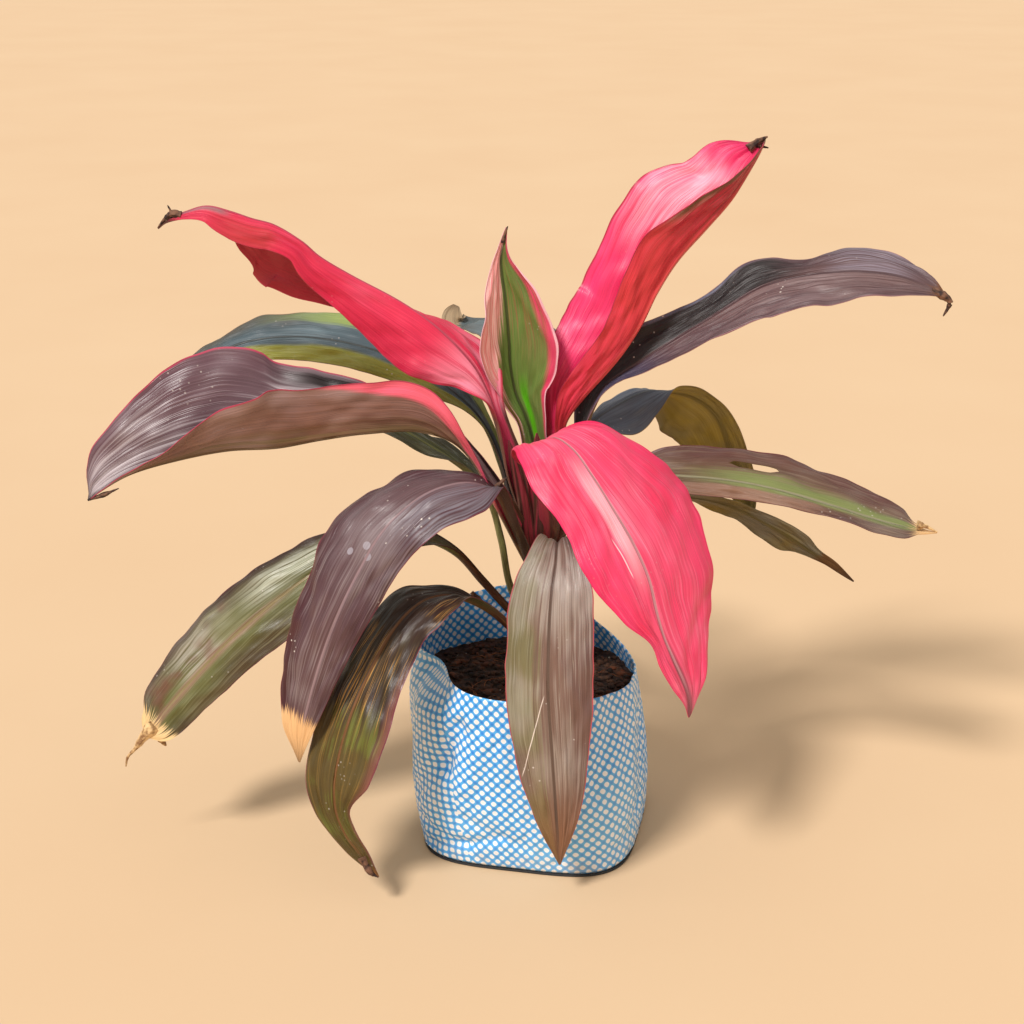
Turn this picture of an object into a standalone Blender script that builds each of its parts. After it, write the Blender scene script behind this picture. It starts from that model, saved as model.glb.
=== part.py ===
"""A red-leaved cordyline, the kind sold as a dracaena, growing in a soft woven-plastic grow bag.

Units are metres and +Z is up. The origin is the middle of the bag's flat base.
The plant's front, where the pink leaf and the silvery leaf hang, faces -Y.
"""

import math
from collections import namedtuple

import bpy
import bmesh
from mathutils import Quaternion, Vector

# Clear space left between pieces that touch
GAP = 0.0003

# Grow bag
BAG_BASE_HALF_SIDE = 0.0835
BAG_BASE_CENTRE = (0.006, 0.002)
BAG_BELLY_RADIUS = 0.0905
BAG_BELLY_HEIGHT = 0.065
BAG_RIM_RADIUS = 0.0865
BAG_RIM_CENTRE = (-0.004, 0.000)
BAG_RIM_FRONT = 0.146
BAG_RIM_RIGHT = 0.134
BAG_RIM_BACK = 0.168
BAG_RIM_LEFT = 0.152
BAG_HEEL = 0.005
BAG_HEEL_BEND = 0.0015
BAG_TURN = -12.0
BAG_BASE_SQUARENESS = 4.0
BAG_RIM_SQUARENESS = 2.1
BAG_CLOTH = 0.0012
BAG_SHOULDER_ANGLE = 206.0
BAG_SHOULDER_SPREAD = 24.0
BAG_SHOULDER_DEPTH = 0.021
BAG_SHOULDER_EASE = 1.5
BAG_SIDES = 40
BAG_RINGS = 10

# Potting soil
SOIL_LEVEL = 0.120
SOIL_EDGE_DROP = 0.004
SOIL_LUMP = 0.0022
SOIL_WIDE_LUMP = 0.012
SOIL_FINE_LUMP = 0.007
SOIL_WALL_SHARES = (0.08, 0.3, 0.55, 0.8, 1.0)
SOIL_RINGS = 5

# Cane
CANE_FOOT = Vector((0.014, 0.000, 0.072))
CANE_TOP = Vector((0.011, 0.006, 0.266))
CANE_FOOT_RADIUS = 0.0088
CANE_TOP_RADIUS = 0.0062
CANE_RING_PITCH = 0.011
CANE_RING_RISE = 0.0005
CANE_DOME_HEIGHT = 0.016
CANE_DOME_FULLNESS = 0.8
CANE_HOLE_DEPTH = 0.10
CANE_SIDES = 14
CANE_STEPS = 36

# Leaves
BLADE_THICKNESS = 0.0009
STALK_THICKNESS = 0.0030
STALK_HALF_WIDTH = 0.0045
BLADE_HALF_WIDTH_FULL = 0.016
LEAF_ROWS = 20
LEAF_HALF_COLUMNS = 3
TIP_HALF_WIDTH = 0.0008

# One cross-section of a leaf, from the stalk's foot to the tip. x, y, z is the midrib, and left and right
# are the widths of the two halves as seen from the foot with the upper face up. Roll turns the upper face
# towards the right. The last four are degrees that a half rises from the leaf's plane, beside the midrib
# and at its margin, and are below zero where it droops.
Section = namedtuple("Section", "x y z left right roll left_in left_out right_in right_out")


def stalk(x, y, z, roll=0):
    """A cross-section of the channelled stalk."""
    return Section(x, y, z, STALK_HALF_WIDTH, STALK_HALF_WIDTH, roll, 30, 50, 30, 50)


def tip(x, y, z, roll=0):
    """The last cross-section, where the halves meet in a point."""
    return Section(x, y, z, TIP_HALF_WIDTH, TIP_HALF_WIDTH, roll, 0, 0, 0, 0)


# Each leaf: the side of the cane its stalk clasps (degrees, from +X towards +Y), how high, its colour,
# and its cross-sections.
Leaf = namedtuple("Leaf", "azimuth height colour sections")

PINK = (0.80, 0.04, 0.13)
PURPLE = (0.10, 0.05, 0.07)
MAUVE = (0.20, 0.11, 0.11)
OLIVE = (0.16, 0.15, 0.05)
GREEN = (0.06, 0.13, 0.05)

LEAVES = {
    "leaf_left_broad": Leaf(192, 0.206, MAUVE, [
        stalk(-0.006, -0.010, 0.236),
        stalk(-0.023, -0.028, 0.280),
        Section(-0.045, -0.040, 0.327, 0.010, 0.012, 0, 50, 60, 45, 40),
        Section(-0.079, -0.047, 0.340, 0.034, 0.036, 0, 75, 95, 55, 35),
        Section(-0.118, -0.052, 0.342, 0.041, 0.048, 0, 78, 98, 62, 45),
        Section(-0.180, -0.058, 0.338, 0.039, 0.058, 0, 75, 85, 66, 45),
        Section(-0.215, -0.062, 0.334, 0.030, 0.063, 0, 72, 72, 66, 48),
        Section(-0.252, -0.067, 0.321, 0.014, 0.059, 0, 60, 50, 66, 52),
        Section(-0.282, -0.073, 0.308, 0.006, 0.039, 0, 40, 30, 60, 50),
        tip(-0.311, -0.080, 0.300),
    ]),
    "leaf_left_arched": Leaf(233, 0.194, PURPLE, [
        stalk(0.001, -0.022, 0.226),
        stalk(-0.013, -0.034, 0.266),
        Section(-0.027, -0.044, 0.294, 0.006, 0.006, -10, 35, 40, 35, 40),
        Section(-0.047, -0.058, 0.305, 0.020, 0.020, -20, 10, -10, 15, -5),
        Section(-0.074, -0.072, 0.302, 0.033, 0.033, -25, 0, -25, 5, -25),
        Section(-0.096, -0.083, 0.288, 0.036, 0.036, -35, 0, -25, 0, -25),
        Section(-0.116, -0.092, 0.262, 0.036, 0.036, -45, 0, -25, 0, -25),
        Section(-0.134, -0.100, 0.228, 0.035, 0.035, -50, 0, -25, 0, -25),
        Section(-0.149, -0.104, 0.190, 0.030, 0.030, -50, 0, -20, 0, -20),
        Section(-0.161, -0.106, 0.150, 0.021, 0.019, -50, 0, -10, 0, -10),
        tip(-0.168, -0.106, 0.112, -50),
    ]),
    "leaf_left_low_dark": Leaf(235, 0.148, PURPLE, [
        stalk(-0.008, -0.026, 0.172),
        stalk(-0.029, -0.039, 0.198),
        Section(-0.050, -0.050, 0.213, 0.006, 0.006, -10, 35, 40, 35, 40),
        Section(-0.076, -0.064, 0.219, 0.024, 0.020, -25, 10, -10, 10, -10),
        Section(-0.098, -0.080, 0.203, 0.033, 0.026, -40, 0, -20, 0, -20),
        Section(-0.117, -0.094, 0.172, 0.036, 0.024, -50, 0, -20, 0, -20),
        Section(-0.132, -0.107, 0.138, 0.036, 0.025, -55, 0, -20, 0, -20),
        Section(-0.141, -0.117, 0.101, 0.028, 0.024, -55, 0, -20, 0, -20),
        Section(-0.140, -0.122, 0.072, 0.017, 0.016, -55, 0, -10, 0, -10),
        Section(-0.128, -0.126, 0.049, 0.007, 0.007, -55, 0, 0, 0, 0),
        tip(-0.111, -0.130, 0.027, -55),
    ]),
    "leaf_left_low_green": Leaf(192, 0.158, OLIVE, [
        stalk(-0.012, -0.006, 0.180),
        stalk(-0.036, -0.012, 0.211),
        stalk(-0.056, -0.016, 0.236),
        Section(-0.080, -0.020, 0.248, 0.010, 0.010, -20, 20, 10, 20, 10),
        Section(-0.110, -0.021, 0.247, 0.026, 0.026, -35, 10, -10, 10, -10),
        Section(-0.145, -0.023, 0.233, 0.034, 0.028, -45, 5, -20, 5, -15),
        Section(-0.180, -0.030, 0.212, 0.037, 0.027, -48, 0, -25, 0, -15),
        Section(-0.217, -0.036, 0.183, 0.036, 0.026, -48, 0, -30, 0, -15),
        Section(-0.248, -0.041, 0.152, 0.030, 0.023, -48, 0, -30, 0, -15),
        Section(-0.275, -0.045, 0.121, 0.020, 0.016, -48, 0, -20, 0, -10),
        Section(-0.290, -0.048, 0.099, 0.009, 0.008, -48, 0, 0, 0, 0),
        tip(-0.303, -0.050, 0.080, -48),
    ]),
    "leaf_left_upper_pink": Leaf(172, 0.236, PINK, [
        stalk(-0.002, 0.004, 0.262),
        stalk(-0.013, 0.002, 0.292),
        stalk(-0.028, 0.000, 0.345),
        Section(-0.040, 0.000, 0.372, 0.032, 0.018, 0, -20, -60, -20, -50),
        Section(-0.064, 0.000, 0.402, 0.048, 0.034, 0, -35, -70, -45, -80),
        Section(-0.095, 0.000, 0.424, 0.045, 0.040, 0, -40, -75, -55, -90),
        Section(-0.130, -0.002, 0.444, 0.034, 0.042, 0, -40, -75, -60, -95),
        Section(-0.158, -0.004, 0.462, 0.021, 0.046, 0, -35, -70, -70, -100),
        Section(-0.181, -0.006, 0.482, 0.015, 0.052, 0, -30, -60, -80, -95),
        Section(-0.198, -0.008, 0.484, 0.017, 0.040, 0, -30, -50, -80, -90),
        Section(-0.222, -0.010, 0.492, 0.019, 0.014, 0, -30, -40, -40, -50),
        Section(-0.250, -0.010, 0.487, 0.008, 0.007, 0, -20, -20, -20, -20),
        tip(-0.266, -0.010, 0.477),
    ]),
    "leaf_left_back": Leaf(148, 0.216, GREEN, [
        stalk(-0.009, 0.018, 0.246),
        stalk(-0.022, 0.040, 0.288),
        Section(-0.038, 0.053, 0.318, 0.008, 0.008, -10, 30, 30, 30, 30),
        Section(-0.069, 0.065, 0.344, 0.026, 0.024, -20, 5, -20, 5, -15),
        Section(-0.116, 0.075, 0.365, 0.036, 0.034, -22, 0, -35, 0, -25),
        Section(-0.170, 0.080, 0.376, 0.037, 0.035, -22, 0, -35, 0, -30),
        Section(-0.216, 0.080, 0.374, 0.032, 0.031, -20, 0, -35, 0, -30),
        Section(-0.255, 0.079, 0.358, 0.020, 0.020, -20, 0, -20, 0, -20),
        tip(-0.288, 0.075, 0.334, -20),
    ]),
    "leaf_left_back_low": Leaf(176, 0.166, GREEN, [
        stalk(-0.014, 0.006, 0.196),
        stalk(-0.022, 0.016, 0.234),
        stalk(-0.032, 0.028, 0.260),
        Section(-0.050, 0.038, 0.275, 0.010, 0.010, -10, 30, 30, 30, 30),
        Section(-0.078, 0.046, 0.291, 0.019, 0.022, -20, 5, -20, 5, -15),
        Section(-0.110, 0.052, 0.309, 0.021, 0.028, -20, 0, -25, 0, -20),
        Section(-0.145, 0.056, 0.320, 0.020, 0.027, -18, 0, -20, 0, -20),
        Section(-0.180, 0.060, 0.324, 0.014, 0.018, -15, 0, -15, 0, -15),
        tip(-0.212, 0.064, 0.320, -15),
    ]),
    "leaf_back": Leaf(100, 0.240, GREEN, [
        stalk(0.011, 0.028, 0.278),
        stalk(0.014, 0.052, 0.310),
        Section(0.014, 0.076, 0.336, 0.012, 0.012, 0, 20, 10, 20, 10),
        Section(0.008, 0.100, 0.358, 0.026, 0.026, 0, 5, -15, 5, -15),
        Section(-0.008, 0.126, 0.372, 0.030, 0.030, 0, 0, -20, 0, -20),
        Section(-0.030, 0.152, 0.374, 0.026, 0.026, 0, 0, -20, 0, -20),
        Section(-0.050, 0.178, 0.368, 0.014, 0.014, 0, 0, -10, 0, -10),
        tip(-0.061, 0.192, 0.373),
    ]),
    "leaf_spear": Leaf(95, 0.262, GREEN, [
        stalk(0.006, 0.018, 0.286),
        stalk(0.002, 0.016, 0.312),
        Section(-0.003, 0.016, 0.330, 0.014, 0.014, 0, 40, 60, 30, 50),
        Section(-0.013, 0.018, 0.351, 0.024, 0.032, 0, 30, 70, 20, 40),
        Section(-0.016, 0.018, 0.389, 0.034, 0.040, 0, 25, 60, 20, 40),
        Section(-0.019, 0.018, 0.423, 0.022, 0.028, 0, 30, 60, 20, 40),
        Section(-0.022, 0.018, 0.448, 0.009, 0.013, 0, 30, 40, 20, 30),
        tip(-0.019, 0.018, 0.470),
    ]),
    "leaf_right_upper_pink": Leaf(22, 0.240, PINK, [
        stalk(0.021, 0.012, 0.276),
        stalk(0.022, 0.013, 0.310),
        Section(0.027, 0.012, 0.330, 0.020, 0.012, 0, 50, 50, 60, 70),
        Section(0.040, 0.012, 0.349, 0.046, 0.022, 0, 65, 55, 80, 95),
        Section(0.067, 0.015, 0.380, 0.055, 0.030, 0, 60, 45, 82, 98),
        Section(0.096, 0.020, 0.427, 0.054, 0.033, 0, 58, 50, 82, 95),
        Section(0.124, 0.026, 0.475, 0.050, 0.024, 0, 55, 50, 75, 80),
        Section(0.149, 0.036, 0.508, 0.030, 0.010, 0, 50, 50, 50, 50),
        tip(0.169, 0.050, 0.532),
    ]),
    "leaf_right_purple": Leaf(2, 0.222, PURPLE, [
        stalk(0.029, 0.004, 0.256),
        stalk(0.036, 0.008, 0.303),
        Section(0.052, 0.020, 0.344, 0.014, 0.013, 10, 30, 30, 10, 0),
        Section(0.083, 0.027, 0.364, 0.022, 0.016, 20, 15, 5, -10, -15),
        Section(0.111, 0.030, 0.382, 0.029, 0.019, 20, 12, 5, -10, -20),
        Section(0.136, 0.030, 0.399, 0.036, 0.021, 20, 25, 15, -10, -15),
        Section(0.164, 0.030, 0.419, 0.044, 0.028, 20, 32, 25, -10, -15),
        Section(0.196, 0.026, 0.434, 0.034, 0.034, 20, 15, 0, -5, -20),
        Section(0.231, 0.020, 0.443, 0.030, 0.031, 24, 5, -10, -5, -15),
        Section(0.267, 0.015, 0.440, 0.020, 0.020, 28, 5, -5, 0, -10),
        Section(0.292, 0.010, 0.430, 0.009, 0.009, 28, 0, 0, 0, 0),
        tip(0.303, 0.008, 0.418, 25),
    ]),
    "leaf_right_back": Leaf(68, 0.222, OLIVE, [
        stalk(0.021, 0.025, 0.254),
        stalk(0.034, 0.040, 0.294),
        Section(0.050, 0.060, 0.314, 0.018, 0.016, 0, 20, 10, 20, 10),
        Section(0.085, 0.090, 0.326, 0.034, 0.032, 0, 0, -15, 0, -15),
        Section(0.125, 0.120, 0.324, 0.038, 0.037, 0, 0, -15, 0, -15),
        Section(0.160, 0.146, 0.300, 0.036, 0.035, 0, 0, -15, 0, -15),
        Section(0.182, 0.168, 0.254, 0.024, 0.024, 0, 0, -10, 0, -10),
        tip(0.194, 0.180, 0.204),
    ]),
    "leaf_right_slim": Leaf(346, 0.200, OLIVE, [
        stalk(0.028, -0.007, 0.228),
        stalk(0.040, -0.006, 0.260),
        Section(0.059, -0.003, 0.280, 0.010, 0.009, 5, 20, 20, 0, -20),
        Section(0.089, 0.000, 0.290, 0.028, 0.013, 12, 35, 25, -20, -60),
        Section(0.119, 0.000, 0.290, 0.036, 0.015, 15, 35, 25, -25, -65),
        Section(0.156, 0.000, 0.286, 0.036, 0.015, 15, 35, 25, -25, -60),
        Section(0.193, -0.005, 0.279, 0.032, 0.014, 15, 30, 20, -20, -50),
        Section(0.230, -0.010, 0.269, 0.027, 0.013, 15, 25, 20, -15, -30),
        Section(0.259, -0.015, 0.261, 0.020, 0.011, 15, 20, 15, -10, -10),
        Section(0.284, -0.019, 0.256, 0.010, 0.008, 15, 0, 0, 0, 0),
        tip(0.300, -0.020, 0.252, 15),
    ]),
    "leaf_right_low_back": Leaf(28, 0.186, OLIVE, [
        stalk(0.032, 0.016, 0.216),
        stalk(0.050, 0.034, 0.242),
        Section(0.080, 0.055, 0.253, 0.014, 0.014, 0, 20, 10, 20, 10),
        Section(0.120, 0.080, 0.247, 0.022, 0.022, -15, 10, 0, 10, 0),
        Section(0.162, 0.100, 0.231, 0.024, 0.024, -25, 10, 0, 10, 0),
        Section(0.202, 0.113, 0.207, 0.021, 0.021, -32, 5, 0, 5, 0),
        Section(0.233, 0.119, 0.185, 0.014, 0.014, -35, 0, 0, 0, 0),
        Section(0.254, 0.120, 0.170, 0.006, 0.006, -35, 0, 0, 0, 0),
        tip(0.271, 0.120, 0.157, -35),
    ]),
    "leaf_front_pink": Leaf(300, 0.234, PINK, [
        stalk(0.017, -0.015, 0.262),
        stalk(0.014, -0.021, 0.298),
        Section(0.014, -0.028, 0.318, 0.018, 0.018, 0, 20, 10, 20, 10),
        Section(0.025, -0.043, 0.331, 0.038, 0.038, 0, 10, -10, 10, -10),
        Section(0.042, -0.058, 0.329, 0.046, 0.046, 0, 5, -15, 5, -15),
        Section(0.064, -0.080, 0.307, 0.053, 0.047, 0, 0, -20, 0, -20),
        Section(0.083, -0.100, 0.270, 0.057, 0.050, 0, 0, -20, 0, -20),
        Section(0.097, -0.116, 0.228, 0.051, 0.043, 0, 0, -20, 0, -20),
        Section(0.106, -0.126, 0.192, 0.034, 0.024, 0, 0, -15, 0, -15),
        tip(0.111, -0.132, 0.158),
    ]),
    "leaf_front_silvery": Leaf(279, 0.200, MAUVE, [
        stalk(0.018, -0.022, 0.224),
        Section(0.018, -0.036, 0.246, 0.008, 0.008, 0, 30, 30, 30, 30),
        Section(0.019, -0.052, 0.258, 0.019, 0.019, 0, 5, -10, 5, -10),
        Section(0.017, -0.071, 0.254, 0.028, 0.028, 0, 0, -15, 0, -15),
        Section(0.014, -0.090, 0.234, 0.031, 0.031, 0, 0, -15, 0, -15),
        Section(0.012, -0.102, 0.200, 0.032, 0.032, 0, 0, -15, 0, -15),
        Section(0.012, -0.111, 0.160, 0.032, 0.032, 0, 0, -15, 0, -15),
        Section(0.015, -0.116, 0.115, 0.027, 0.027, 0, 0, -15, 0, -15),
        Section(0.018, -0.118, 0.071, 0.017, 0.017, 0, 0, -10, 0, -10),
        tip(0.021, -0.118, 0.030),
    ]),
}


def clear_scene():
    for obj in list(bpy.data.objects):
        bpy.data.objects.remove(obj, do_unlink=True)


def new_collection(name):
    collection = bpy.data.collections.new(name)
    bpy.context.scene.collection.children.link(collection)
    return collection


def new_material(name, colour, roughness):
    material = bpy.data.materials.new(name)
    material.use_nodes = True
    shader = material.node_tree.nodes["Principled BSDF"]
    shader.inputs["Base Color"].default_value = (*colour, 1.0)
    shader.inputs["Roughness"].default_value = roughness
    shader.inputs["Metallic"].default_value = 0.0
    return material


def new_object(name, bm, collection, material=None):
    bmesh.ops.recalc_face_normals(bm, faces=bm.faces)
    mesh = bpy.data.meshes.new(name)
    bm.to_mesh(mesh)
    bm.free()
    mesh.shade_smooth()
    mesh.set_sharp_from_angle(angle=math.radians(50))
    if material:
        mesh.materials.append(material)
    obj = bpy.data.objects.new(name, mesh)
    collection.objects.link(obj)
    return obj


def loft(bm, rings, closed_start=True, closed_end=True):
    """Skins a list of rings, each a list of points round the same axis, and caps the ends."""
    rows = [[bm.verts.new(point) for point in ring] for ring in rings]
    for low, high in zip(rows, rows[1:]):
        for i in range(len(low)):
            j = (i + 1) % len(low)
            bm.faces.new((low[i], low[j], high[j], high[i]))
    if closed_start:
        bm.faces.new(list(reversed(rows[0])))
    if closed_end:
        bm.faces.new(rows[-1])


def smooth_value(points, at):
    """A smooth curve through (place, value) pairs that never swings past them by much."""
    places = [place for place, _ in points]
    values = [value for _, value in points]
    index = max(0, min(len(places) - 2, sum(place <= at for place in places) - 1))

    def slope(i):
        low, high = max(i - 1, 0), min(i + 1, len(places) - 1)
        return (values[high] - values[low]) * (1.0 / (places[high] - places[low]))

    span = places[index + 1] - places[index]
    t = (at - places[index]) / span
    start, end = values[index], values[index + 1]
    return (
        start * (2 * t**3 - 3 * t**2 + 1)
        + slope(index) * (span * (t**3 - 2 * t**2 + t))
        + end * (3 * t**2 - 2 * t**3)
        + slope(index + 1) * (span * (t**3 - t**2))
    )


def cane_centre(height):
    share = (height - CANE_FOOT.z) / (CANE_TOP.z - CANE_FOOT.z)
    return CANE_FOOT.lerp(CANE_TOP, share)


def cane_radius(height):
    share = (height - CANE_FOOT.z) / (CANE_TOP.z - CANE_FOOT.z)
    taper = CANE_FOOT_RADIUS + (CANE_TOP_RADIUS - CANE_FOOT_RADIUS) * share
    ring = max(0.0, math.cos(2 * math.pi * height / CANE_RING_PITCH)) ** 4
    return taper + CANE_RING_RISE * ring


def make_cane(collection):
    """The woody cane, ringed by the scars of old leaves and rounded at its top."""
    rings = []
    for step in range(CANE_STEPS + 1):
        share = step / CANE_STEPS
        height = CANE_FOOT.z + (CANE_TOP.z - CANE_FOOT.z) * share
        dome = max(0.0, 1 - (CANE_TOP.z - height) / CANE_DOME_HEIGHT)
        radius = cane_radius(height) * math.sqrt(1 - CANE_DOME_FULLNESS * dome**2)
        centre = cane_centre(height)
        rings.append([
            centre + Vector((math.cos(a), math.sin(a), 0)) * radius
            for a in (2 * math.pi * side / CANE_SIDES for side in range(CANE_SIDES))
        ])
    bm = bmesh.new()
    loft(bm, rings)
    return new_object("cane", bm, collection, new_material("cane_bark", (0.30, 0.22, 0.13), 0.7))


def rim_height(angle):
    """Height of the bag's open edge, from the four heights measured round it. It stays low on the right."""
    side = BAG_RIM_RIGHT if math.cos(angle) > 0 else BAG_RIM_LEFT
    end = BAG_RIM_BACK if math.sin(angle) > 0 else BAG_RIM_FRONT
    turn = math.sin(angle) ** 2
    if math.cos(angle) > 0 and math.sin(angle) > 0:
        turn = turn**1.5
    return side + (end - side) * turn


def bag_point(angle, height, inset=0.0):
    """A point on the wall: a rounded square below, rounder at the rim, with one shoulder slumped inwards."""
    up = min(height / BAG_RIM_FRONT, 1.0)
    if height < BAG_BELLY_HEIGHT:
        share = math.sin(height / BAG_BELLY_HEIGHT * math.pi / 2)
        radius = BAG_BASE_HALF_SIDE + (BAG_BELLY_RADIUS - BAG_BASE_HALF_SIDE) * share
    else:
        share = min((height - BAG_BELLY_HEIGHT) / (BAG_RIM_FRONT - BAG_BELLY_HEIGHT), 1.0)
        radius = BAG_BELLY_RADIUS + (BAG_RIM_RADIUS - BAG_BELLY_RADIUS) * share**2
    power = BAG_BASE_SQUARENESS + (BAG_RIM_SQUARENESS - BAG_BASE_SQUARENESS) * math.sqrt(up)
    turned = angle - math.radians(BAG_TURN)
    square = (abs(math.cos(turned)) ** power + abs(math.sin(turned)) ** power) ** (-1 / power)
    away = (math.degrees(angle) - BAG_SHOULDER_ANGLE + 180) % 360 - 180
    above_soil = max(0.0, min(1.0, (height - SOIL_LEVEL) / (BAG_RIM_FRONT - SOIL_LEVEL)))
    shoulder = BAG_SHOULDER_DEPTH * math.exp(-((away / BAG_SHOULDER_SPREAD) ** 2))
    reach = radius * square - shoulder * above_soil**BAG_SHOULDER_EASE - inset
    x = BAG_BASE_CENTRE[0] + (BAG_RIM_CENTRE[0] - BAG_BASE_CENTRE[0]) * up + reach * math.cos(angle)
    y = BAG_BASE_CENTRE[1] + (BAG_RIM_CENTRE[1] - BAG_BASE_CENTRE[1]) * up + reach * math.sin(angle)
    return Vector((x, y, height))


def side_angles():
    return [2 * math.pi * side / BAG_SIDES for side in range(BAG_SIDES)]


def make_bag(collection):
    """The grow bag: one wall of coated cloth, turned in under a flat base and open at the top."""
    rings = [
        [bag_point(angle, 0.0, BAG_HEEL) for angle in side_angles()],
        [bag_point(angle, BAG_HEEL_BEND, BAG_HEEL_BEND) for angle in side_angles()],
    ]
    for step in range(BAG_RINGS):
        share = step / (BAG_RINGS - 1)
        rings.append([
            bag_point(angle, BAG_HEEL + (rim_height(angle) - BAG_HEEL) * share) for angle in side_angles()
        ])
    bm = bmesh.new()
    loft(bm, rings, closed_end=False)
    bag = new_object("grow_bag", bm, collection, new_material("bag_cloth", (0.10, 0.36, 0.80), 0.35))
    shell = bag.modifiers.new("cloth", "SOLIDIFY")
    shell.thickness = BAG_CLOTH
    shell.offset = -1
    return bag


def soil_height(x, y):
    """Low rolling lumps."""
    wide = math.sin(x / SOIL_WIDE_LUMP) * math.cos(y / SOIL_WIDE_LUMP)
    fine = math.sin((x + y) / SOIL_FINE_LUMP)
    return SOIL_LEVEL + SOIL_LUMP * (wide + fine) / 2


def make_soil(collection, cutters):
    """The potting soil that fills the bag, with a plain round hole that the cane stands in."""
    inset = BAG_CLOTH + 3 * GAP
    floor = BAG_CLOTH + GAP
    edge = SOIL_LEVEL - SOIL_EDGE_DROP
    rings = [[bag_point(angle, floor, inset + BAG_HEEL) for angle in side_angles()]]
    for share in SOIL_WALL_SHARES:
        rings.append([bag_point(angle, edge * share, inset) for angle in side_angles()])
    rim = rings[-1]
    middle = sum(rim, Vector()) / len(rim)
    for step in range(1, SOIL_RINGS):
        ring = [middle.lerp(point, 1 - step / SOIL_RINGS) for point in rim]
        rings.append([Vector((p.x, p.y, soil_height(p.x, p.y))) for p in ring])
    bm = bmesh.new()
    loft(bm, rings)
    soil = new_object("soil", bm, collection, new_material("potting_soil", (0.035, 0.02, 0.012), 0.95))
    cut = soil.modifiers.new("cane_hole", "BOOLEAN")
    cut.operation = "DIFFERENCE"
    cut.object = cane_hole(cutters)
    return soil


def cane_hole(cutters):
    """A straight round cutter along the cane, wider than it by the gap."""
    lean = (CANE_TOP - CANE_FOOT).normalized()
    bpy.ops.mesh.primitive_cylinder_add(
        vertices=CANE_SIDES,
        radius=CANE_FOOT_RADIUS + CANE_RING_RISE + GAP,
        depth=CANE_HOLE_DEPTH,
        location=CANE_FOOT + lean * (CANE_HOLE_DEPTH / 2 - GAP),
    )
    hole = bpy.context.object
    hole.name = "cane_hole_cutter"
    hole.rotation_mode = "QUATERNION"
    hole.rotation_quaternion = lean.to_track_quat("Z", "Y")
    hole.hide_render = True
    hole.display_type = "WIRE"
    for holder in list(hole.users_collection):
        holder.objects.unlink(hole)
    cutters.objects.link(hole)
    return hole


def foot_section(leaf):
    """Where a stalk clasps the cane, its channelled face towards the bark."""
    angle = math.radians(leaf.azimuth)
    out = cane_radius(leaf.height) + CANE_RING_RISE + GAP
    centre = cane_centre(leaf.height) + Vector((math.cos(angle), math.sin(angle), 0)) * out
    return Section(*centre, STALK_HALF_WIDTH, STALK_HALF_WIDTH, 0, 5, 15, 5, 15)


def leaf_frames(sections, azimuth):
    """Evenly spaced midrib points, each with its direction, its upper-face normal and its other values."""
    knots = [0.0]
    for a, b in zip(sections, sections[1:]):
        knots.append(knots[-1] + (Vector(b[:3]) - Vector(a[:3])).length)
    tracks = [list(zip(knots, [section[i] for section in sections])) for i in range(len(Section._fields))]
    rows = []
    for step in range(LEAF_ROWS + 1):
        at = knots[-1] * step / LEAF_ROWS
        rows.append(Section(*[smooth_value(track, at) for track in tracks]))
    points = [Vector(row[:3]) for row in rows]
    inward = Vector((-math.cos(math.radians(azimuth)), -math.sin(math.radians(azimuth)), 0))
    frames = []
    normal = inward
    last = None
    for i, row in enumerate(rows):
        along = (points[min(i + 1, LEAF_ROWS)] - points[max(i - 1, 0)]).normalized()
        if last:
            normal = last.rotation_difference(along) @ normal
        normal = (normal - along * normal.dot(along)).normalized()
        turned = Quaternion(along, math.radians(row.roll)) @ normal
        frames.append((points[i], along, turned, row))
        last = along
    return frames


def half_outline(point, out, up, width, angle_in, angle_out):
    """Points from beside the midrib to the margin of one half, along an arc."""
    outline = []
    here = point
    for step in range(LEAF_HALF_COLUMNS):
        middle = (step + 0.5) / LEAF_HALF_COLUMNS
        angle = math.radians(angle_in + (angle_out - angle_in) * middle)
        here = here + (out * math.cos(angle) + up * math.sin(angle)) * (width / LEAF_HALF_COLUMNS)
        outline.append(here)
    return outline


def make_leaf(name, leaf, collection):
    """One leaf: a blade that narrows to its stalk, skinned through its cross-sections and then thickened."""
    bm = bmesh.new()
    rows = []
    weights = []
    for point, along, up, row in leaf_frames([foot_section(leaf), *leaf.sections], leaf.azimuth):
        right = along.cross(up)
        left_side = half_outline(point, -right, up, row.left, row.left_in, row.left_out)
        right_side = half_outline(point, right, up, row.right, row.right_in, row.right_out)
        across = [*reversed(left_side), point, *right_side]
        rows.append([bm.verts.new(p) for p in across])
        stalk_share = 1 - (max(row.left, row.right) - STALK_HALF_WIDTH) / (
            BLADE_HALF_WIDTH_FULL - STALK_HALF_WIDTH
        )
        weights.append(max(0.0, min(1.0, stalk_share)))
    blade_start = weights.index(0.0)
    weights = [share if i < blade_start else 0.0 for i, share in enumerate(weights)]
    for low, high in zip(rows, rows[1:]):
        for j in range(len(low) - 1):
            bm.faces.new((low[j], low[j + 1], high[j + 1]))
            bm.faces.new((low[j], high[j + 1], high[j]))
    mesh = bpy.data.meshes.new(name)
    bm.to_mesh(mesh)
    bm.free()
    mesh.shade_smooth()
    obj = bpy.data.objects.new(name, mesh)
    collection.objects.link(obj)
    mesh.materials.append(new_material(name + "_skin", leaf.colour, 0.45))
    columns = 2 * LEAF_HALF_COLUMNS + 1
    group = obj.vertex_groups.new(name="stalk")
    for i, share in enumerate(weights):
        group.add(list(range(i * columns, (i + 1) * columns)), share, "REPLACE")
    body = obj.modifiers.new("leaf_body", "SOLIDIFY")
    body.thickness = STALK_THICKNESS
    body.offset = -1
    body.vertex_group = "stalk"
    body.thickness_vertex_group = BLADE_THICKNESS / STALK_THICKNESS
    return obj


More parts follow.
